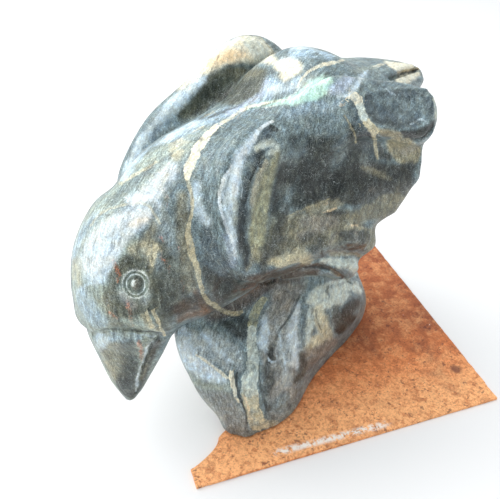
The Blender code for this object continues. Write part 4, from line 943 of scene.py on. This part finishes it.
class Picture:
    """The carving as the camera sees it: where its points fall, and which of them can be seen."""

    def __init__(self, piece, stage):
        self.place, self.back, self.right, self.up = camera_frame(stage)
        self.focal = stage.lens / SENSOR_WIDTH * PICTURE_WIDTH
        self.points = read_points(piece.data)
        self.normals = read_normals(piece.data)
        faces = [tuple(face.vertices) for face in piece.data.polygons]
        self.tree = BVHTree.FromPolygons([Vector(p) for p in self.points], faces)

    def study(self):
        """Finds where every point falls on the picture, and whether it is seen."""
        self.warped = self.points + self.wobble()
        self.flat = self.project(self.warped)
        self.seen = self.visibility()

    def wobble(self):
        """A small wandering of the stone's layers, so that no mark has a drawn edge."""
        noise.seed_set(LAYER_SEED)
        moved = np.empty_like(self.points)
        for i, p in enumerate(self.points):
            v = Vector(p)
            broad = noise.noise_vector(v * BROAD_WAVE) * BROAD_REACH
            moved[i] = broad + noise.noise_vector(v * FINE_WAVE) * FINE_REACH
        return moved

    def project(self, points):
        away = points - np.array(self.place)
        depth = -(away @ np.array(self.back))
        across = PICTURE_WIDTH / 2 + self.focal * (away @ np.array(self.right)) / depth
        down = PICTURE_HEIGHT / 2 - self.focal * (away @ np.array(self.up)) / depth
        return np.stack([across, down], 1)

    def visibility(self):
        """1 where the camera sees the point full on, falling to 0 at the rim and behind things."""
        to_camera = np.array(self.place) - self.points
        reach = np.linalg.norm(to_camera, axis=1)
        facing = np.einsum("ij,ij->i", self.normals, to_camera) / reach
        seen = np.clip(facing / FULL_FACING, 0, 1)
        for i in np.flatnonzero(seen > 0):
            away = Vector(to_camera[i]).normalized()
            start = Vector(self.points[i]) + Vector(self.normals[i]) * RAY_START
            if self.tree.ray_cast(start, away, reach[i])[0] is not None:
                seen[i] = 0
        return seen

    def cast(self, across, down):
        """The place on the carving under a point of the picture, or None."""
        ray = self.right * ((across - PICTURE_WIDTH / 2) / self.focal)
        ray -= self.up * ((down - PICTURE_HEIGHT / 2) / self.focal)
        ray -= self.back
        return self.tree.ray_cast(self.place, ray.normalized())[0]

    def lay(self, path):
        """A path drawn on the picture, and the same path on the carving, its half widths in metres."""
        drawn = smooth_path(path, 4)
        lying = []
        for across, down, half in drawn:
            hit = self.cast(across, down)
            if hit is not None:
                lying.append((*hit, half * (hit - self.place).length / self.focal))
        return drawn, np.array(lying)

    def around(self, lying, margin):
        """The points in a box round a path that lies on the carving, and the size of one pixel there."""
        low, high = lying[:, :3].min(0) - margin, lying[:, :3].max(0) + margin
        near = np.flatnonzero(((self.points > low) & (self.points < high)).all(1))
        return near, np.linalg.norm(lying[:, :3] - np.array(self.place), axis=1).mean() / self.focal

    def amount(self, path, soft):
        """How strongly a wash drawn on the picture covers each point: 0.5 at its edge."""
        drawn, lying = self.lay(path)
        covered = np.zeros(len(self.points))
        if len(lying) < 2:
            return covered
        margin = WASH_REACH * (lying[:, 3].max() + soft * PIXEL_ABOUT) + WASH_MARGIN
        near, pixel = self.around(lying, margin)
        solid, solid_half = distance_to_path(self.warped[near], lying)
        flat, flat_half = distance_to_path(self.flat[near], drawn)
        edge_flat = 0.5 + (flat_half - flat) / (2 * soft)
        edge_solid = 0.5 + (solid_half - solid) / (2 * soft * pixel)
        reach = np.clip(1.6 - solid / (WASH_REACH * (solid_half + soft * pixel) + WASH_SLACK), 0, 1)
        seen = self.seen[near]
        covered[near] = np.clip(np.minimum(edge_flat, reach) * seen + edge_solid * (1 - seen), 0, 1)
        return covered

    def line(self, path):
        """The points round a drawn line, how far across it they lie and its half width, in mm."""
        drawn, lying = self.lay(path)
        if len(lying) < 2:
            return np.zeros(0, int), np.zeros(0), np.zeros(0)
        near, pixel = self.around(lying, lying[:, 3].max() + LINE_MARGIN)
        flat, flat_half = across_path(self.flat[near], drawn)
        solid, solid_half = across_path(self.warped[near], lying, self.normals[near])
        seen = self.seen[near]
        across = (flat * pixel * seen + solid * (1 - seen)) / GRID_STEP
        half = (flat_half * pixel * seen + solid_half * (1 - seen)) / GRID_STEP
        half[np.abs(solid) > LINE_REACH * solid_half + LINE_SLACK] = 0
        return near, across, half


def store_values(mesh, name, values):
    attribute = mesh.attributes.new(name, "FLOAT", "POINT")
    attribute.data.foreach_set("value", np.ascontiguousarray(values, np.float32))


def store_vectors(mesh, name, rows):
    attribute = mesh.attributes.new(name, "FLOAT_VECTOR", "POINT")
    attribute.data.foreach_set("vector", np.ascontiguousarray(rows, np.float32).ravel())


def store_colours(mesh, name, colours):
    attribute = mesh.attributes.new(name, "FLOAT_COLOR", "POINT")
    rows = np.ones((len(colours), 4), np.float32)
    rows[:, :3] = colours
    attribute.data.foreach_set("color", rows.ravel())


def neighbours_mean(mesh, values, rounds):
    """Values spread over the mesh's edges, so that they change gently."""
    ends = np.empty(len(mesh.edges) * 2, np.int64)
    mesh.edges.foreach_get("vertices", ends)
    a, b = ends.reshape(-1, 2).T
    count = np.bincount(ends, minlength=len(values)) + 1.0
    for _ in range(rounds):
        total = values.copy()
        np.add.at(total, a, values[b])
        np.add.at(total, b, values[a])
        values = total / count
    return values


class Lines:
    """Fine lines in a few sets, shared out so that the lines of one set keep clear of each other."""

    def __init__(self, count):
        self.edge = np.full((LINE_SETS, count), NO_LINE)
        self.across = np.full((LINE_SETS, count), NO_LINE)
        self.half = np.zeros((LINE_SETS, count))
        self.strength = np.zeros((LINE_SETS, count))
        self.tint = np.zeros((LINE_SETS, count, 3))

    def add(self, near, across, half, tint, strength):
        edge = np.abs(across) - half
        inside = (half > 0) & (edge < LINE_TOUCH)
        crowd = [np.count_nonzero(held[near[inside]] < LINE_NEAR) for held in self.edge]
        k = int(np.argmin(crowd))
        mine = (half > 0) & (edge < LINE_NEAR) & (edge < self.edge[k][near])
        rows = near[mine]
        self.edge[k][rows] = edge[mine]
        self.across[k][rows] = across[mine]
        self.half[k][rows] = np.where(inside, half, 0)[mine]
        self.strength[k][rows] = strength
        self.tint[k][rows] = tint

    def store(self, mesh):
        for k in range(LINE_SETS):
            store_vectors(mesh, f"line {k}", np.stack([self.across[k], self.half[k], self.strength[k]], 1))
            store_colours(mesh, f"tint {k}", self.tint[k])


def paint_stone(piece, stage):
    """Lays the washes, lines and stains on the carving, as values at its points; some washes and lines are
    painted highlights and painted shade, and the eyes carry a painted glint and painted shade in their
    grooves.
    """
    picture = Picture(piece, stage)
    picture.study()
    colours = np.tile(np.array(screen_colour(*TINTS["slate"])), (len(picture.points), 1))
    for tint, strength, soft, path in WASHES:
        cover = picture.amount(path, soft)
        cover = (cover * cover * (3 - 2 * cover) * strength)[:, None]
        colours = colours * (1 - cover) + np.array(screen_colour(*TINTS[tint])) * cover
    lines = Lines(len(picture.points))
    for tint, strength, path in LINES:
        lines.add(*picture.line(path), screen_colour(*TINTS[tint]), strength)
    hidden = np.flatnonzero(picture.seen < HIDDEN)
    for tint, strength, path in HIDDEN_LINES:
        lying = grid_path(path)
        across, half = across_path(picture.warped[hidden], lying, picture.normals[hidden])
        half[np.abs(across) > half + LINE_MARGIN] = 0
        lines.add(hidden, across / GRID_STEP, half / GRID_STEP, screen_colour(*TINTS[tint]), strength)
    stain = np.zeros(len(picture.points))
    for strength, path in STAINS:
        stain = np.maximum(stain, picture.amount(path, STAIN_SOFT) * strength)
    for strength, path in HIDDEN_STAINS:
        away, half = distance_to_path(picture.warped, grid_path(path))
        cover = np.clip(0.5 + (half - away) / STAIN_EDGE, 0, 1)
        stain = np.maximum(stain, cover * strength * (picture.seen < HIDDEN))
    # the eye's pale rings, with a painted glint on each pupil
    rings = np.maximum(eye_rings_and_glint(picture.points, 1), eye_rings_and_glint(picture.points, -1))
    # the dark pupils, with painted shade in the grooves beside the rings
    pupils_and_groove_shade = np.maximum(eye_pupil_and_groove_shade(picture.points, 1), eye_pupil_and_groove_shade(picture.points, -1))
    lines.store(piece.data)
    store_values(piece.data, "stain", stain)
    store_values(piece.data, "ring", rings)
    store_values(piece.data, "pupil", pupils_and_groove_shade)
    store_colours(piece.data, "wash", colours)
    store_values(piece.data, "seen", np.clip(neighbours_mean(piece.data, picture.seen, 8) * 1.3, 0, 1))


def eye_frame(side):
    """The middle of an eye, the way it looks, and its width and height directions."""
    middle = on_head(side * EYE_MIDDLE[0], EYE_MIDDLE[1], EYE_MIDDLE[2])
    out = (on_head(side * EYE_LOOK[0], EYE_LOOK[1], EYE_LOOK[2]) - on_head(0, 0, 0)).normalized()
    height = (HEAD_AXIS - out * HEAD_AXIS.dot(out)).normalized()
    return middle, out, out.cross(height), height


def eye_spread(points, side, shares=(1.0, 1.0)):
    """How far each point is from the eye's middle, as a share of an oval."""
    stone = bpy.context.scene.crow_stone
    middle, out, across, up = eye_frame(side)
    away = points - np.array(middle)
    deep = np.abs(away @ np.array(out)) < EYE_DEPTH
    width, height = stone.eye_width * shares[0], stone.eye_height * shares[1]
    spread = np.hypot(away @ np.array(across) / width, away @ np.array(up) / height)
    return np.where(deep, spread, 9.0)


def ring_at(spread, middle, width):
    """1 on a ring, falling off smoothly to both sides."""
    return np.exp(-(((spread - middle) / width) ** 2))


def eye_rings_and_glint(points, side):
    """1 on the bright lines of an eye, and on a painted glint on its pupil."""
    outer = ring_at(eye_spread(points, side), 1.0, 0.085)
    inner = ring_at(eye_spread(points, side, INNER_RING), 1.0, 0.10)
    _, _, across, up = eye_frame(side)
    glint = points + np.array(across) * side * GLINT_SHIFT[0] + np.array(up) * GLINT_SHIFT[1]
    glint = np.exp(-(eye_spread(glint, side, GLINT) ** 2))
    return np.clip(0.9 * outer + 0.8 * inner + 1.2 * glint, 0, 1)


def eye_pupil_and_groove_shade(points, side):
    """1 on the dark pupil of an eye, and painted shade of a third or so in the grooves beside its rings."""
    _, _, across, _ = eye_frame(side)
    turned = points - np.array(across) * side * PUPIL_SHIFT
    groove = ring_at(eye_spread(points, side), 0.85, 0.07)
    hollow = ring_at(eye_spread(points, side, INNER_RING), 0.76, 0.12)
    pupil = np.clip(1.7 - eye_spread(turned, side, PUPIL), 0, 1)
    return np.maximum(pupil, np.maximum(0.30 * groove, 0.42 * hollow))


def carve_eye(piece, side):
    """Two carved rings round a raised pupil."""
    stone = bpy.context.scene.crow_stone
    middle = np.array(eye_frame(side)[0])
    for _ in range(2):
        finer(piece, np.linalg.norm(read_points(piece.data) - middle, axis=1) < stone.eye_height * 1.45)
    points = read_points(piece.data)
    outer, inner = eye_spread(points, side), eye_spread(points, side, INNER_RING)
    pupil = eye_spread(points, side, PUPIL)
    lift = ring_at(outer, 1.0, 0.10)
    lift -= 0.9 * ring_at(outer, 0.84, 0.08)
    lift += 1.2 * ring_at(inner, 1.0, 0.12)
    lift -= 1.4 * ring_at(inner, 0.72, 0.16)
    lift += 2.4 * np.clip(1.2 - pupil ** 2, 0, 1)
    write_points(piece.data, points + (lift * stone.ring_relief)[:, None] * np.array(eye_frame(side)[1]))


class Shade:
    """Adds nodes to one material, wired as they are made."""

    def __init__(self, name):
        self.material = bpy.data.materials.new(name)
        self.material.use_nodes = True
        self.tree = self.material.node_tree
        self.shader = self.tree.nodes["Principled BSDF"]
        place = self.tree.nodes.new("ShaderNodeTexCoord").outputs["Object"]
        self.mm = self.scale(place, 1000)

    def link(self, value, socket):
        if isinstance(value, bpy.types.NodeSocket):
            self.tree.links.new(value, socket)
        elif hasattr(value, "__len__"):
            value = tuple(value)
            socket.default_value = value + (1.0,) * (len(socket.default_value) - len(value))
        else:
            socket.default_value = value

    def scale(self, vector, factor):
        node = self.tree.nodes.new("ShaderNodeVectorMath")
        node.operation = "SCALE"
        self.link(vector, node.inputs[0])
        node.inputs["Scale"].default_value = factor
        return node.outputs[0]

    def vector(self, operation, a, b):
        node = self.tree.nodes.new("ShaderNodeVectorMath")
        node.operation = operation
        self.link(a, node.inputs[0])
        self.link(b, node.inputs[1])
        return node.outputs["Value"] if operation in ("DOT_PRODUCT", "DISTANCE") else node.outputs[0]

    def math(self, operation, a, b=0.0):
        node = self.tree.nodes.new("ShaderNodeMath")
        node.operation = operation
        self.link(a, node.inputs[0])
        self.link(b, node.inputs[1])
        return node.outputs[0]

    def noise(self, where, per_mm, detail=3.0, rough=0.55, distort=0.0, colour=False):
        node = self.tree.nodes.new("ShaderNodeTexNoise")
        self.link(where, node.inputs["Vector"])
        node.inputs["Scale"].default_value = per_mm
        node.inputs["Detail"].default_value = detail
        node.inputs["Roughness"].default_value = rough
        node.inputs["Distortion"].default_value = distort
        return node.outputs["Color"] if colour else node.outputs[0]

    def cracks(self, where, per_mm):
        """How far a place is from the edges of irregular cells."""
        node = self.tree.nodes.new("ShaderNodeTexVoronoi")
        node.feature = "DISTANCE_TO_EDGE"
        self.link(where, node.inputs["Vector"])
        node.inputs["Scale"].default_value = per_mm
        return node.outputs["Distance"]

    def warp(self, where, per_mm, reach):
        """The place moved about by a noise, reach mm at most each way."""
        cloud = self.noise(where, per_mm, 2.0, colour=True)
        away = self.scale(self.vector("SUBTRACT", cloud, (0.5, 0.5, 0.5)), 2 * reach)
        return self.vector("ADD", where, away)

    def along_layers(self, where, per_layer, per_length, per_depth):
        """A place measured across and along the stone's layers, so that noise is drawn out along them."""
        node = self.tree.nodes.new("ShaderNodeCombineXYZ")
        for way, factor, socket in zip(LAYER_WAYS, (per_layer, per_length, per_depth), node.inputs):
            self.link(self.math("MULTIPLY", self.vector("DOT_PRODUCT", where, way), factor), socket)
        return node.outputs[0]

    def hairs(self, per_mm, bend, patch):
        """Thin wandering hairs in patches, as fine scratches lie."""
        hair = self.noise(self.warp(self.mm, bend, 1.2), per_mm, 2.0, 0.5)
        hair = self.range(self.math("ABSOLUTE", self.math("SUBTRACT", hair, 0.5)), 0.0060, 0.0015)
        return self.math("MULTIPLY", hair, self.range(self.noise(self.mm, patch, 2.0), 0.44, 0.58))

    def drawn_line(self, base, number, ragged, breaks):
        """Lays one set of drawn lines over a colour."""
        parts = self.tree.nodes.new("ShaderNodeSeparateXYZ")
        self.link(self.stored(f"line {number}", "Vector"), parts.inputs[0])
        across, half, strength = parts.outputs
        edge = self.math("SUBTRACT", self.math("ADD", half, 0.12), self.math("ABSOLUTE", across))
        fray = self.math("ADD", self.math("MULTIPLY", half, 0.35), 0.22)
        edge = self.math("ADD", edge, self.math("MULTIPLY", ragged, fray))
        cover = self.math("MULTIPLY", self.range(edge, -0.38, 0.30), self.range(half, 0.02, 0.20))
        cover = self.math("MULTIPLY", self.math("MULTIPLY", cover, strength), breaks)
        cover = self.math("MULTIPLY", cover, 0.88)
        return self.mix(cover, base, self.stored(f"tint {number}", "Color"))

    def stored(self, name, kind="Fac"):
        """What paint_stone stored under a name at the carving's points."""
        node = self.tree.nodes.new("ShaderNodeAttribute")
        node.attribute_name = name
        return node.outputs[kind]

    def range(self, value, low, high, to_low=0.0, to_high=1.0):
        node = self.tree.nodes.new("ShaderNodeMapRange")
        node.interpolation_type = "SMOOTHSTEP"
        self.link(value, node.inputs["Value"])
        node.inputs["From Min"].default_value = low
        node.inputs["From Max"].default_value = high
        node.inputs["To Min"].default_value = to_low
        node.inputs["To Max"].default_value = to_high
        return node.outputs[0]

    def mix(self, share, a, b, blend="MIX"):
        node = self.tree.nodes.new("ShaderNodeMix")
        node.data_type = "RGBA"
        node.blend_type = blend
        self.link(share, node.inputs[0])
        self.link(a, node.inputs[6])
        self.link(b, node.inputs[7])
        return node.outputs[2]

    def ramp(self, value, stops):
        node = self.tree.nodes.new("ShaderNodeValToRGB")
        self.link(value, node.inputs[0])
        ramp = node.color_ramp
        for i, (at, colour) in enumerate(stops):
            stop = ramp.elements[i] if i < 2 else ramp.elements.new(at)
            stop.position = at
            stop.color = (*colour, 1)
        return node.outputs[0]

    def vary(self, share, base, value, *factors):
        """Multiplies a colour by three factors: where a noise is low, in its middle and where it is high."""
        factors = [factor if hasattr(factor, "__len__") else (factor,) * 3 for factor in factors]
        return self.mix(share, base, self.ramp(value, zip((0.30, 0.5, 0.70), factors)), "MULTIPLY")

    def bump(self, height, strength, depth_mm, under=None):
        node = self.tree.nodes.new("ShaderNodeBump")
        node.inputs["Strength"].default_value = strength
        node.inputs["Distance"].default_value = depth_mm / 1000
        self.link(height, node.inputs["Height"])
        if under is not None:
            self.link(under, node.inputs["Normal"])
        return node.outputs[0]


def stone_material(stone):
    """Veined soapstone, waxed to a low polish."""
    s = Shade("veined soapstone")
    tone = {name: screen_colour(*rgb) for name, rgb in TINTS.items()}
    drift = s.warp(s.mm, 0.030, 12)
    # layers through the block, for the sides that carry few drawn marks
    band = s.noise(s.along_layers(drift, 0.055, 0.012, 0.016), 1.0, 6.0, 0.58, 0.3)
    layered = s.ramp(band, (
        (0.34, tone["black green"]), (0.42, tone["charcoal"]), (0.49, tone["slate"]),
        (0.54, tone["green grey"]), (0.58, tone["olive"]),
        (0.65, tone["pale green"]), (0.74, tone["straw"]),
    ))
    seen = s.stored("seen")
    # the washes where the camera sees the stone, painted highlights and painted shade among them
    base = s.mix(seen, layered, s.stored("wash", "Color"))
    # clouds in the stone
    cloud = s.noise(drift, 0.085, 5.0, 0.62, 0.6)
    base = s.mix(s.range(cloud, 0.52, 0.66, 0.0, 0.20), base, s.mix(0.5, base, tone["green grey"]))
    base = s.mix(s.range(cloud, 0.48, 0.34, 0.0, 0.28), base, s.mix(0.6, base, tone["black green"]))
    # drawn lines and stains, their edges broken by the grain
    grain = s.noise(s.mm, 1.25, 4.0, 0.70)
    mottle = s.noise(s.mm, 0.34, 4.0, 0.62)
    ragged = s.math("ADD", s.math("MULTIPLY", s.math("SUBTRACT", grain, 0.5), 3.0),
                    s.math("MULTIPLY", s.math("SUBTRACT", mottle, 0.5), 3.0))
    frayed = s.math("MULTIPLY", ragged, 0.45)
    breaks = s.range(s.noise(s.mm, 0.12, 3.0, 0.6), 0.36, 0.50, 0.45, 1.0)
    for k in range(LINE_SETS):
        base = s.drawn_line(base, k, frayed, breaks)
    stain = s.range(s.math("ADD", s.stored("stain"), s.math("MULTIPLY", ragged, 0.42)), 0.40, 1.05)
    base = s.mix(s.math("MULTIPLY", stain, 0.60), base, stone.rust)
    # the dark pupils, and painted shade in the grooves beside the eye's rings
    base = s.mix(s.math("MULTIPLY", s.range(s.stored("pupil"), 0.1, 0.9), 0.66), base, tone["dark brown"])
    # the eye's pale rings, and a painted glint on each pupil
    ring = s.range(s.math("ADD", s.stored("ring"), s.math("MULTIPLY", ragged, 0.30)), 0.30, 0.95)
    base = s.mix(s.math("MULTIPLY", ring, s.range(mottle, 0.38, 0.60, 0.35, 0.80)), base, stone.speck)
    # wavy dark and pale streaks that follow the layers
    flow = s.noise(s.along_layers(s.warp(s.mm, 0.07, 4), 0.34, 0.045, 0.060), 1.0, 6.0, 0.66, 0.4)
    base = s.mix(s.range(flow, 0.54, 0.66, 0.0, 0.50), base, s.mix(0.7, base, tone["black green"]))
    base = s.mix(s.range(flow, 0.46, 0.34, 0.0, 0.24), base, s.mix(0.6, base, tone["pale green"]))
    # fine natural veins on the sides that carry few drawn marks
    crack = s.cracks(s.warp(s.mm, 0.05, 9), 0.028)
    thin = s.math("MULTIPLY", s.range(crack, 0.018, 0.004), s.range(cloud, 0.50, 0.60))
    thin = s.math("MULTIPLY", thin, s.range(seen, 0.5, 0.1))
    base = s.mix(s.math("MULTIPLY", thin, 0.75), base, tone["straw"])
    # streaks along the layers, then grain and specks
    streaks = s.noise(s.along_layers(s.warp(s.mm, 0.16, 1.6), 0.90, 0.10, 0.14), 1.0, 5.0, 0.68)
    calm = s.range(s.vector("DOT_PRODUCT", base, (0.3, 0.5, 0.2)), 0.22, 0.62, 1.0, 0.45)
    base = s.vary(calm, base, streaks, 0.44, 1.0, 1.80)
    base = s.vary(1.0, base, mottle, 0.80, 1.0, 1.22)
    base = s.vary(calm, base, grain, 0.38, 0.98, 1.84)
    hue = s.noise(s.mm, 0.22, 3.0, 0.6)
    base = s.mix(1.0, base, s.ramp(hue, ((0.35, (0.96, 1.0, 1.05)), (0.65, (1.06, 1.0, 0.91)))), "MULTIPLY")
    speck = s.noise(s.mm, 1.9, 2.0, 0.5)
    base = s.mix(s.range(speck, 0.62, 0.72, 0.0, 0.36), base, stone.speck)
    base = s.mix(s.range(speck, 0.38, 0.29, 0.0, 0.28), base, stone.dark)
    # hair-fine scratches left by the last polishing
    hair = s.hairs(0.16, 0.3, 0.06)
    hair = s.math("MAXIMUM", hair, s.hairs(0.26, 0.5, 0.09))
    base = s.mix(s.math("MULTIPLY", hair, 0.45), base, stone.speck)
    # the wax darkens the stone's low tones
    base = s.mix(1.0, s.scale(base, 1.0 + 5 * stone.depth), (stone.depth,) * 3, "SUBTRACT")
    s.link(base, s.shader.inputs["Base Color"])
    rough = s.range(mottle, 0.30, 0.70, stone.polish - 0.08, stone.polish + 0.14)
    s.link(rough, s.shader.inputs["Roughness"])
    s.shader.inputs["Specular IOR Level"].default_value = 0.40
    relief = s.bump(s.noise(s.mm, 0.11, 4.0, 0.55), 0.45, 0.7)
    relief = s.bump(mottle, 0.30, 0.18, relief)
    relief = s.bump(grain, 0.35, 0.12, relief)
    relief = s.bump(hair, 0.25, 0.05, relief)
    s.link(relief, s.shader.inputs["Normal"])
    return s.material


def rust_material(plate):
    """Steel rusted all over, with dark scale, brown stains and white scuffs, and painted shade towards the
    back and painted light towards the front edge.
    """
    s = Shade("rusted steel plate")
    broad = s.noise(s.warp(s.mm, 0.02, 14), 0.020, 4.0, 0.6)
    middle = s.noise(s.warp(s.mm, 0.10, 3), 0.10, 5.0, 0.65)
    fine = s.noise(s.mm, 0.75, 4.0, 0.70)
    side = s.vector("DOT_PRODUCT", s.mm, TO_FRONT)
    base = s.mix(s.range(broad, 0.34, 0.52), plate.old_rust_and_shade, plate.rust)
    # painted shade: darker old rust towards the back; painted light: brighter rust towards the front edge
    base = s.mix(s.range(side, 66, 14, 0.0, 0.74), base, plate.old_rust_and_shade)
    base = s.mix(s.range(side, 44, 108, 0.0, 0.85), base, plate.bright_rust_and_light)
    base = s.mix(s.range(middle, 0.42, 0.66, 0.0, 0.40), base, plate.bright_rust_and_light)
    base = s.mix(s.range(middle, 0.48, 0.34, 0.0, 0.42), base, plate.old_rust_and_shade)
    blotch = s.noise(s.warp(s.mm, 0.5, 0.6), 0.34, 4.0, 0.68)
    base = s.mix(s.range(blotch, 0.49, 0.62, 0.0, 0.62), base, s.mix(0.5, plate.rust, plate.old_rust_and_shade))
    base = s.vary(1.0, base, fine, (0.74, 0.64, 0.60), 1.0, (1.28, 1.32, 1.32))
    spots = s.noise(s.warp(s.mm, 0.4, 0.8), 0.24, 3.0, 0.62)
    base = s.mix(s.range(spots, 0.585, 0.68, 0.0, 0.66), base, plate.speck)
    dots = s.noise(s.mm, 0.46, 2.0, 0.55)
    base = s.mix(s.range(dots, 0.64, 0.72, 0.0, 0.50), base, plate.speck)
    base = s.mix(s.range(dots, 0.26, 0.21, 0.0, 0.75), base, plate.scuff)
    # white scuffs in a row along the front edge, and one dark spot
    off_row = s.math("ABSOLUTE", s.math("SUBTRACT", side, SCUFF_ROW))
    along = s.vector("DOT_PRODUCT", s.mm, ALONG_FRONT)
    scuff = s.math("MULTIPLY", s.range(off_row, 4.2, 0.6), s.range(along, -76, -64))
    scuff = s.math("MULTIPLY", scuff, s.range(along, 20, 6))
    scuff = s.math("MULTIPLY", scuff, s.range(s.noise(s.mm, 0.22, 5.0, 0.75), 0.44, 0.54))
    base = s.mix(scuff, base, plate.scuff)
    spot = s.range(s.vector("DISTANCE", s.warp(s.mm, 0.3, 1.5), DARK_SPOT), 6.0, 2.0, 0.0, 0.72)
    base = s.mix(spot, base, plate.speck)
    s.link(base, s.shader.inputs["Base Color"])
    s.link(s.range(fine, 0.3, 0.7, 0.72, 0.92), s.shader.inputs["Roughness"])
    s.shader.inputs["Specular IOR Level"].default_value = 0.35
    relief = s.bump(middle, 0.5, 0.5)
    relief = s.bump(fine, 0.6, 0.25, relief)
    relief = s.bump(spots, 0.4, 0.3, relief)
    s.link(relief, s.shader.inputs["Normal"])
    return s.material


def dress(piece, node, material):
    """Gives a finished piece its material and stands it in for its solid."""
    piece.data.materials.clear()
    piece.data.materials.append(material)
    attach(piece, "root")
    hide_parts(node)
    deselect_all()


class CROW_OT_carving(bpy.types.Operator):
    """Refines the stone crow and its rock, carves the fine details and polishes the stone"""

    bl_idname = "crow.carving"
    bl_label = "Stone crow"

    def execute(self, context):
        stone = context.scene.crow_stone
        piece = copy_of_node("crow_carving", "carved_crow")
        apply_modifier(piece, "Skin", "REMESH", mode="VOXEL", voxel_size=stone.grain, use_smooth_shade=True)
        apply_modifier(piece, "Soften", "SMOOTH", factor=0.5, iterations=stone.softening)
        chisel(piece, FINE_STROKES)
        chisel_head(piece, FINE_HEAD_STROKES)
        chisel_picture(piece, context.scene.crow_stage, PICTURE_STROKES)
        for side in (1, -1):
            carve_eye(piece, side)
        bpy.ops.object.shade_smooth()
        paint_stone(piece, context.scene.crow_stage)
        dress(piece, "crow_carving", stone_material(stone))
        return {"FINISHED"}


class CROW_OT_plate(bpy.types.Operator):
    """Wears the edges of the base plate and rusts it"""

    bl_idname = "crow.plate"
    bl_label = "Rusted plate"

    def execute(self, context):
        settings = context.scene.crow_plate
        piece = copy_of_node("base_plate", "rusted_base_plate")
        edit_all(piece, bpy.ops.mesh.dissolve_limited, angle_limit=0.01)
        centre = read_points(piece.data).mean(0)
        work = bmesh.new()
        work.from_mesh(piece.data)
        for face in list(work.faces):
            if abs(face.normal.z) < 0.5:
                continue
            for edge in list(face.edges):
                cuts = int(edge.calc_length() / settings.edge_step)
                if cuts > 0:
                    bmesh.ops.subdivide_edges(work, edges=[edge], cuts=cuts)
        work.to_mesh(piece.data)
        work.free()
        points = read_points(piece.data)
        inward = centre[:2] - points[:, :2]
        inward /= np.linalg.norm(inward, axis=1)[:, None]
        for i, p in enumerate(points):
            v = Vector((p[0], p[1], 0))
            bite = max(0.0, noise.noise(v * BROAD_BITE) + 0.5 * noise.noise(v * FINE_BITE) + 0.15)
            points[i, :2] += inward[i] * settings.edge_wear * bite
        write_points(piece.data, points)
        edit_all(piece, bpy.ops.mesh.quads_convert_to_tris)
        edit_all(piece, bpy.ops.mesh.normals_make_consistent, inside=False)
        bpy.ops.object.shade_smooth_by_angle(angle=math.radians(40))
        dress(piece, "base_plate", rust_material(settings))
        return {"FINISHED"}


class CROW_OT_stage(bpy.types.Operator):
    """Lays the pale floor, hangs the soft light and sets up the camera"""

    bl_idname = "crow.stage"
    bl_label = "Floor, light and camera"

    def execute(self, context):
        stage, scene = context.scene.crow_stage, context.scene
        deselect_all()
        bpy.ops.mesh.primitive_plane_add(size=FLOOR_SIZE, location=(0, 0, -FLOOR_DROP))
        floor = context.object
        floor.name = "pale_floor"
        paper = bpy.data.materials.new("pale floor")
        paper.use_nodes = True
        shader = paper.node_tree.nodes["Principled BSDF"]
        shader.inputs["Base Color"].default_value = (*stage.floor, 1)
        shader.inputs["Roughness"].default_value = 0.9
        floor.data.materials.append(paper)
        world = bpy.data.worlds.new("soft sky")
        world.use_nodes = True
        background = world.node_tree.nodes["Background"]
        background.inputs["Color"].default_value = SKY_COLOUR
        background.inputs["Strength"].default_value = stage.sky
        scene.world = world
        for name, place, size, share in SOFTBOXES:
            bpy.ops.object.light_add(type="AREA", location=place)
            lamp = context.object
            lamp.name = name
            lamp.data.size = size
            lamp.data.energy = stage.top_light * share
            lamp.rotation_euler = (LIGHT_AIM - Vector(place)).to_track_quat("-Z", "Y").to_euler()
        place, back, _, _ = camera_frame(stage)
        bpy.ops.object.camera_add(location=place, rotation=(-back).to_track_quat("-Z", "Y").to_euler())
        camera = context.object
        camera.name = "picture_camera"
        camera.data.lens = stage.lens
        camera.data.sensor_width = SENSOR_WIDTH
        camera.data.clip_start = 0.01
        scene.camera = camera
        scene.view_settings.view_transform = "Standard"
        deselect_all()
        return {"FINISHED"}


class CROW_PT_finish(bpy.types.Panel):
    """The crow's pieces and their settings"""

    bl_idname = "CROW_PT_finish"
    bl_label = "Stone Crow"
    bl_space_type = "VIEW_3D"
    bl_region_type = "UI"
    bl_category = "Crow"

    def draw(self, context):
        layout = self.layout
        for group, operator in GROUPS:
            box = layout.box()
            settings = getattr(context.scene, group)
            for name in settings.bl_rna.properties.keys():
                if name not in ("rna_type", "name"):
                    box.prop(settings, name)
            box.operator(operator)


GROUPS = (("crow_stone", "crow.carving"), ("crow_plate", "crow.plate"), ("crow_stage", "crow.stage"))
CLASSES = (
    StoneSettings, PlateSettings, StageSettings,
    CROW_OT_carving, CROW_OT_plate, CROW_OT_stage, CROW_PT_finish,
)


def register():
    for cls in CLASSES:
        bpy.utils.register_class(cls)
    bpy.types.Scene.crow_stone = bpy.props.PointerProperty(type=StoneSettings)
    bpy.types.Scene.crow_plate = bpy.props.PointerProperty(type=PlateSettings)
    bpy.types.Scene.crow_stage = bpy.props.PointerProperty(type=StageSettings)


def unregister():
    del bpy.types.Scene.crow_stage
    del bpy.types.Scene.crow_plate
    del bpy.types.Scene.crow_stone
    for cls in reversed(CLASSES):
        bpy.utils.unregister_class(cls)


def main():
    register()
    bpy.ops.crow.carving()
    bpy.ops.crow.plate()
    bpy.ops.crow.stage()


if __name__ == "__main__":
    main()
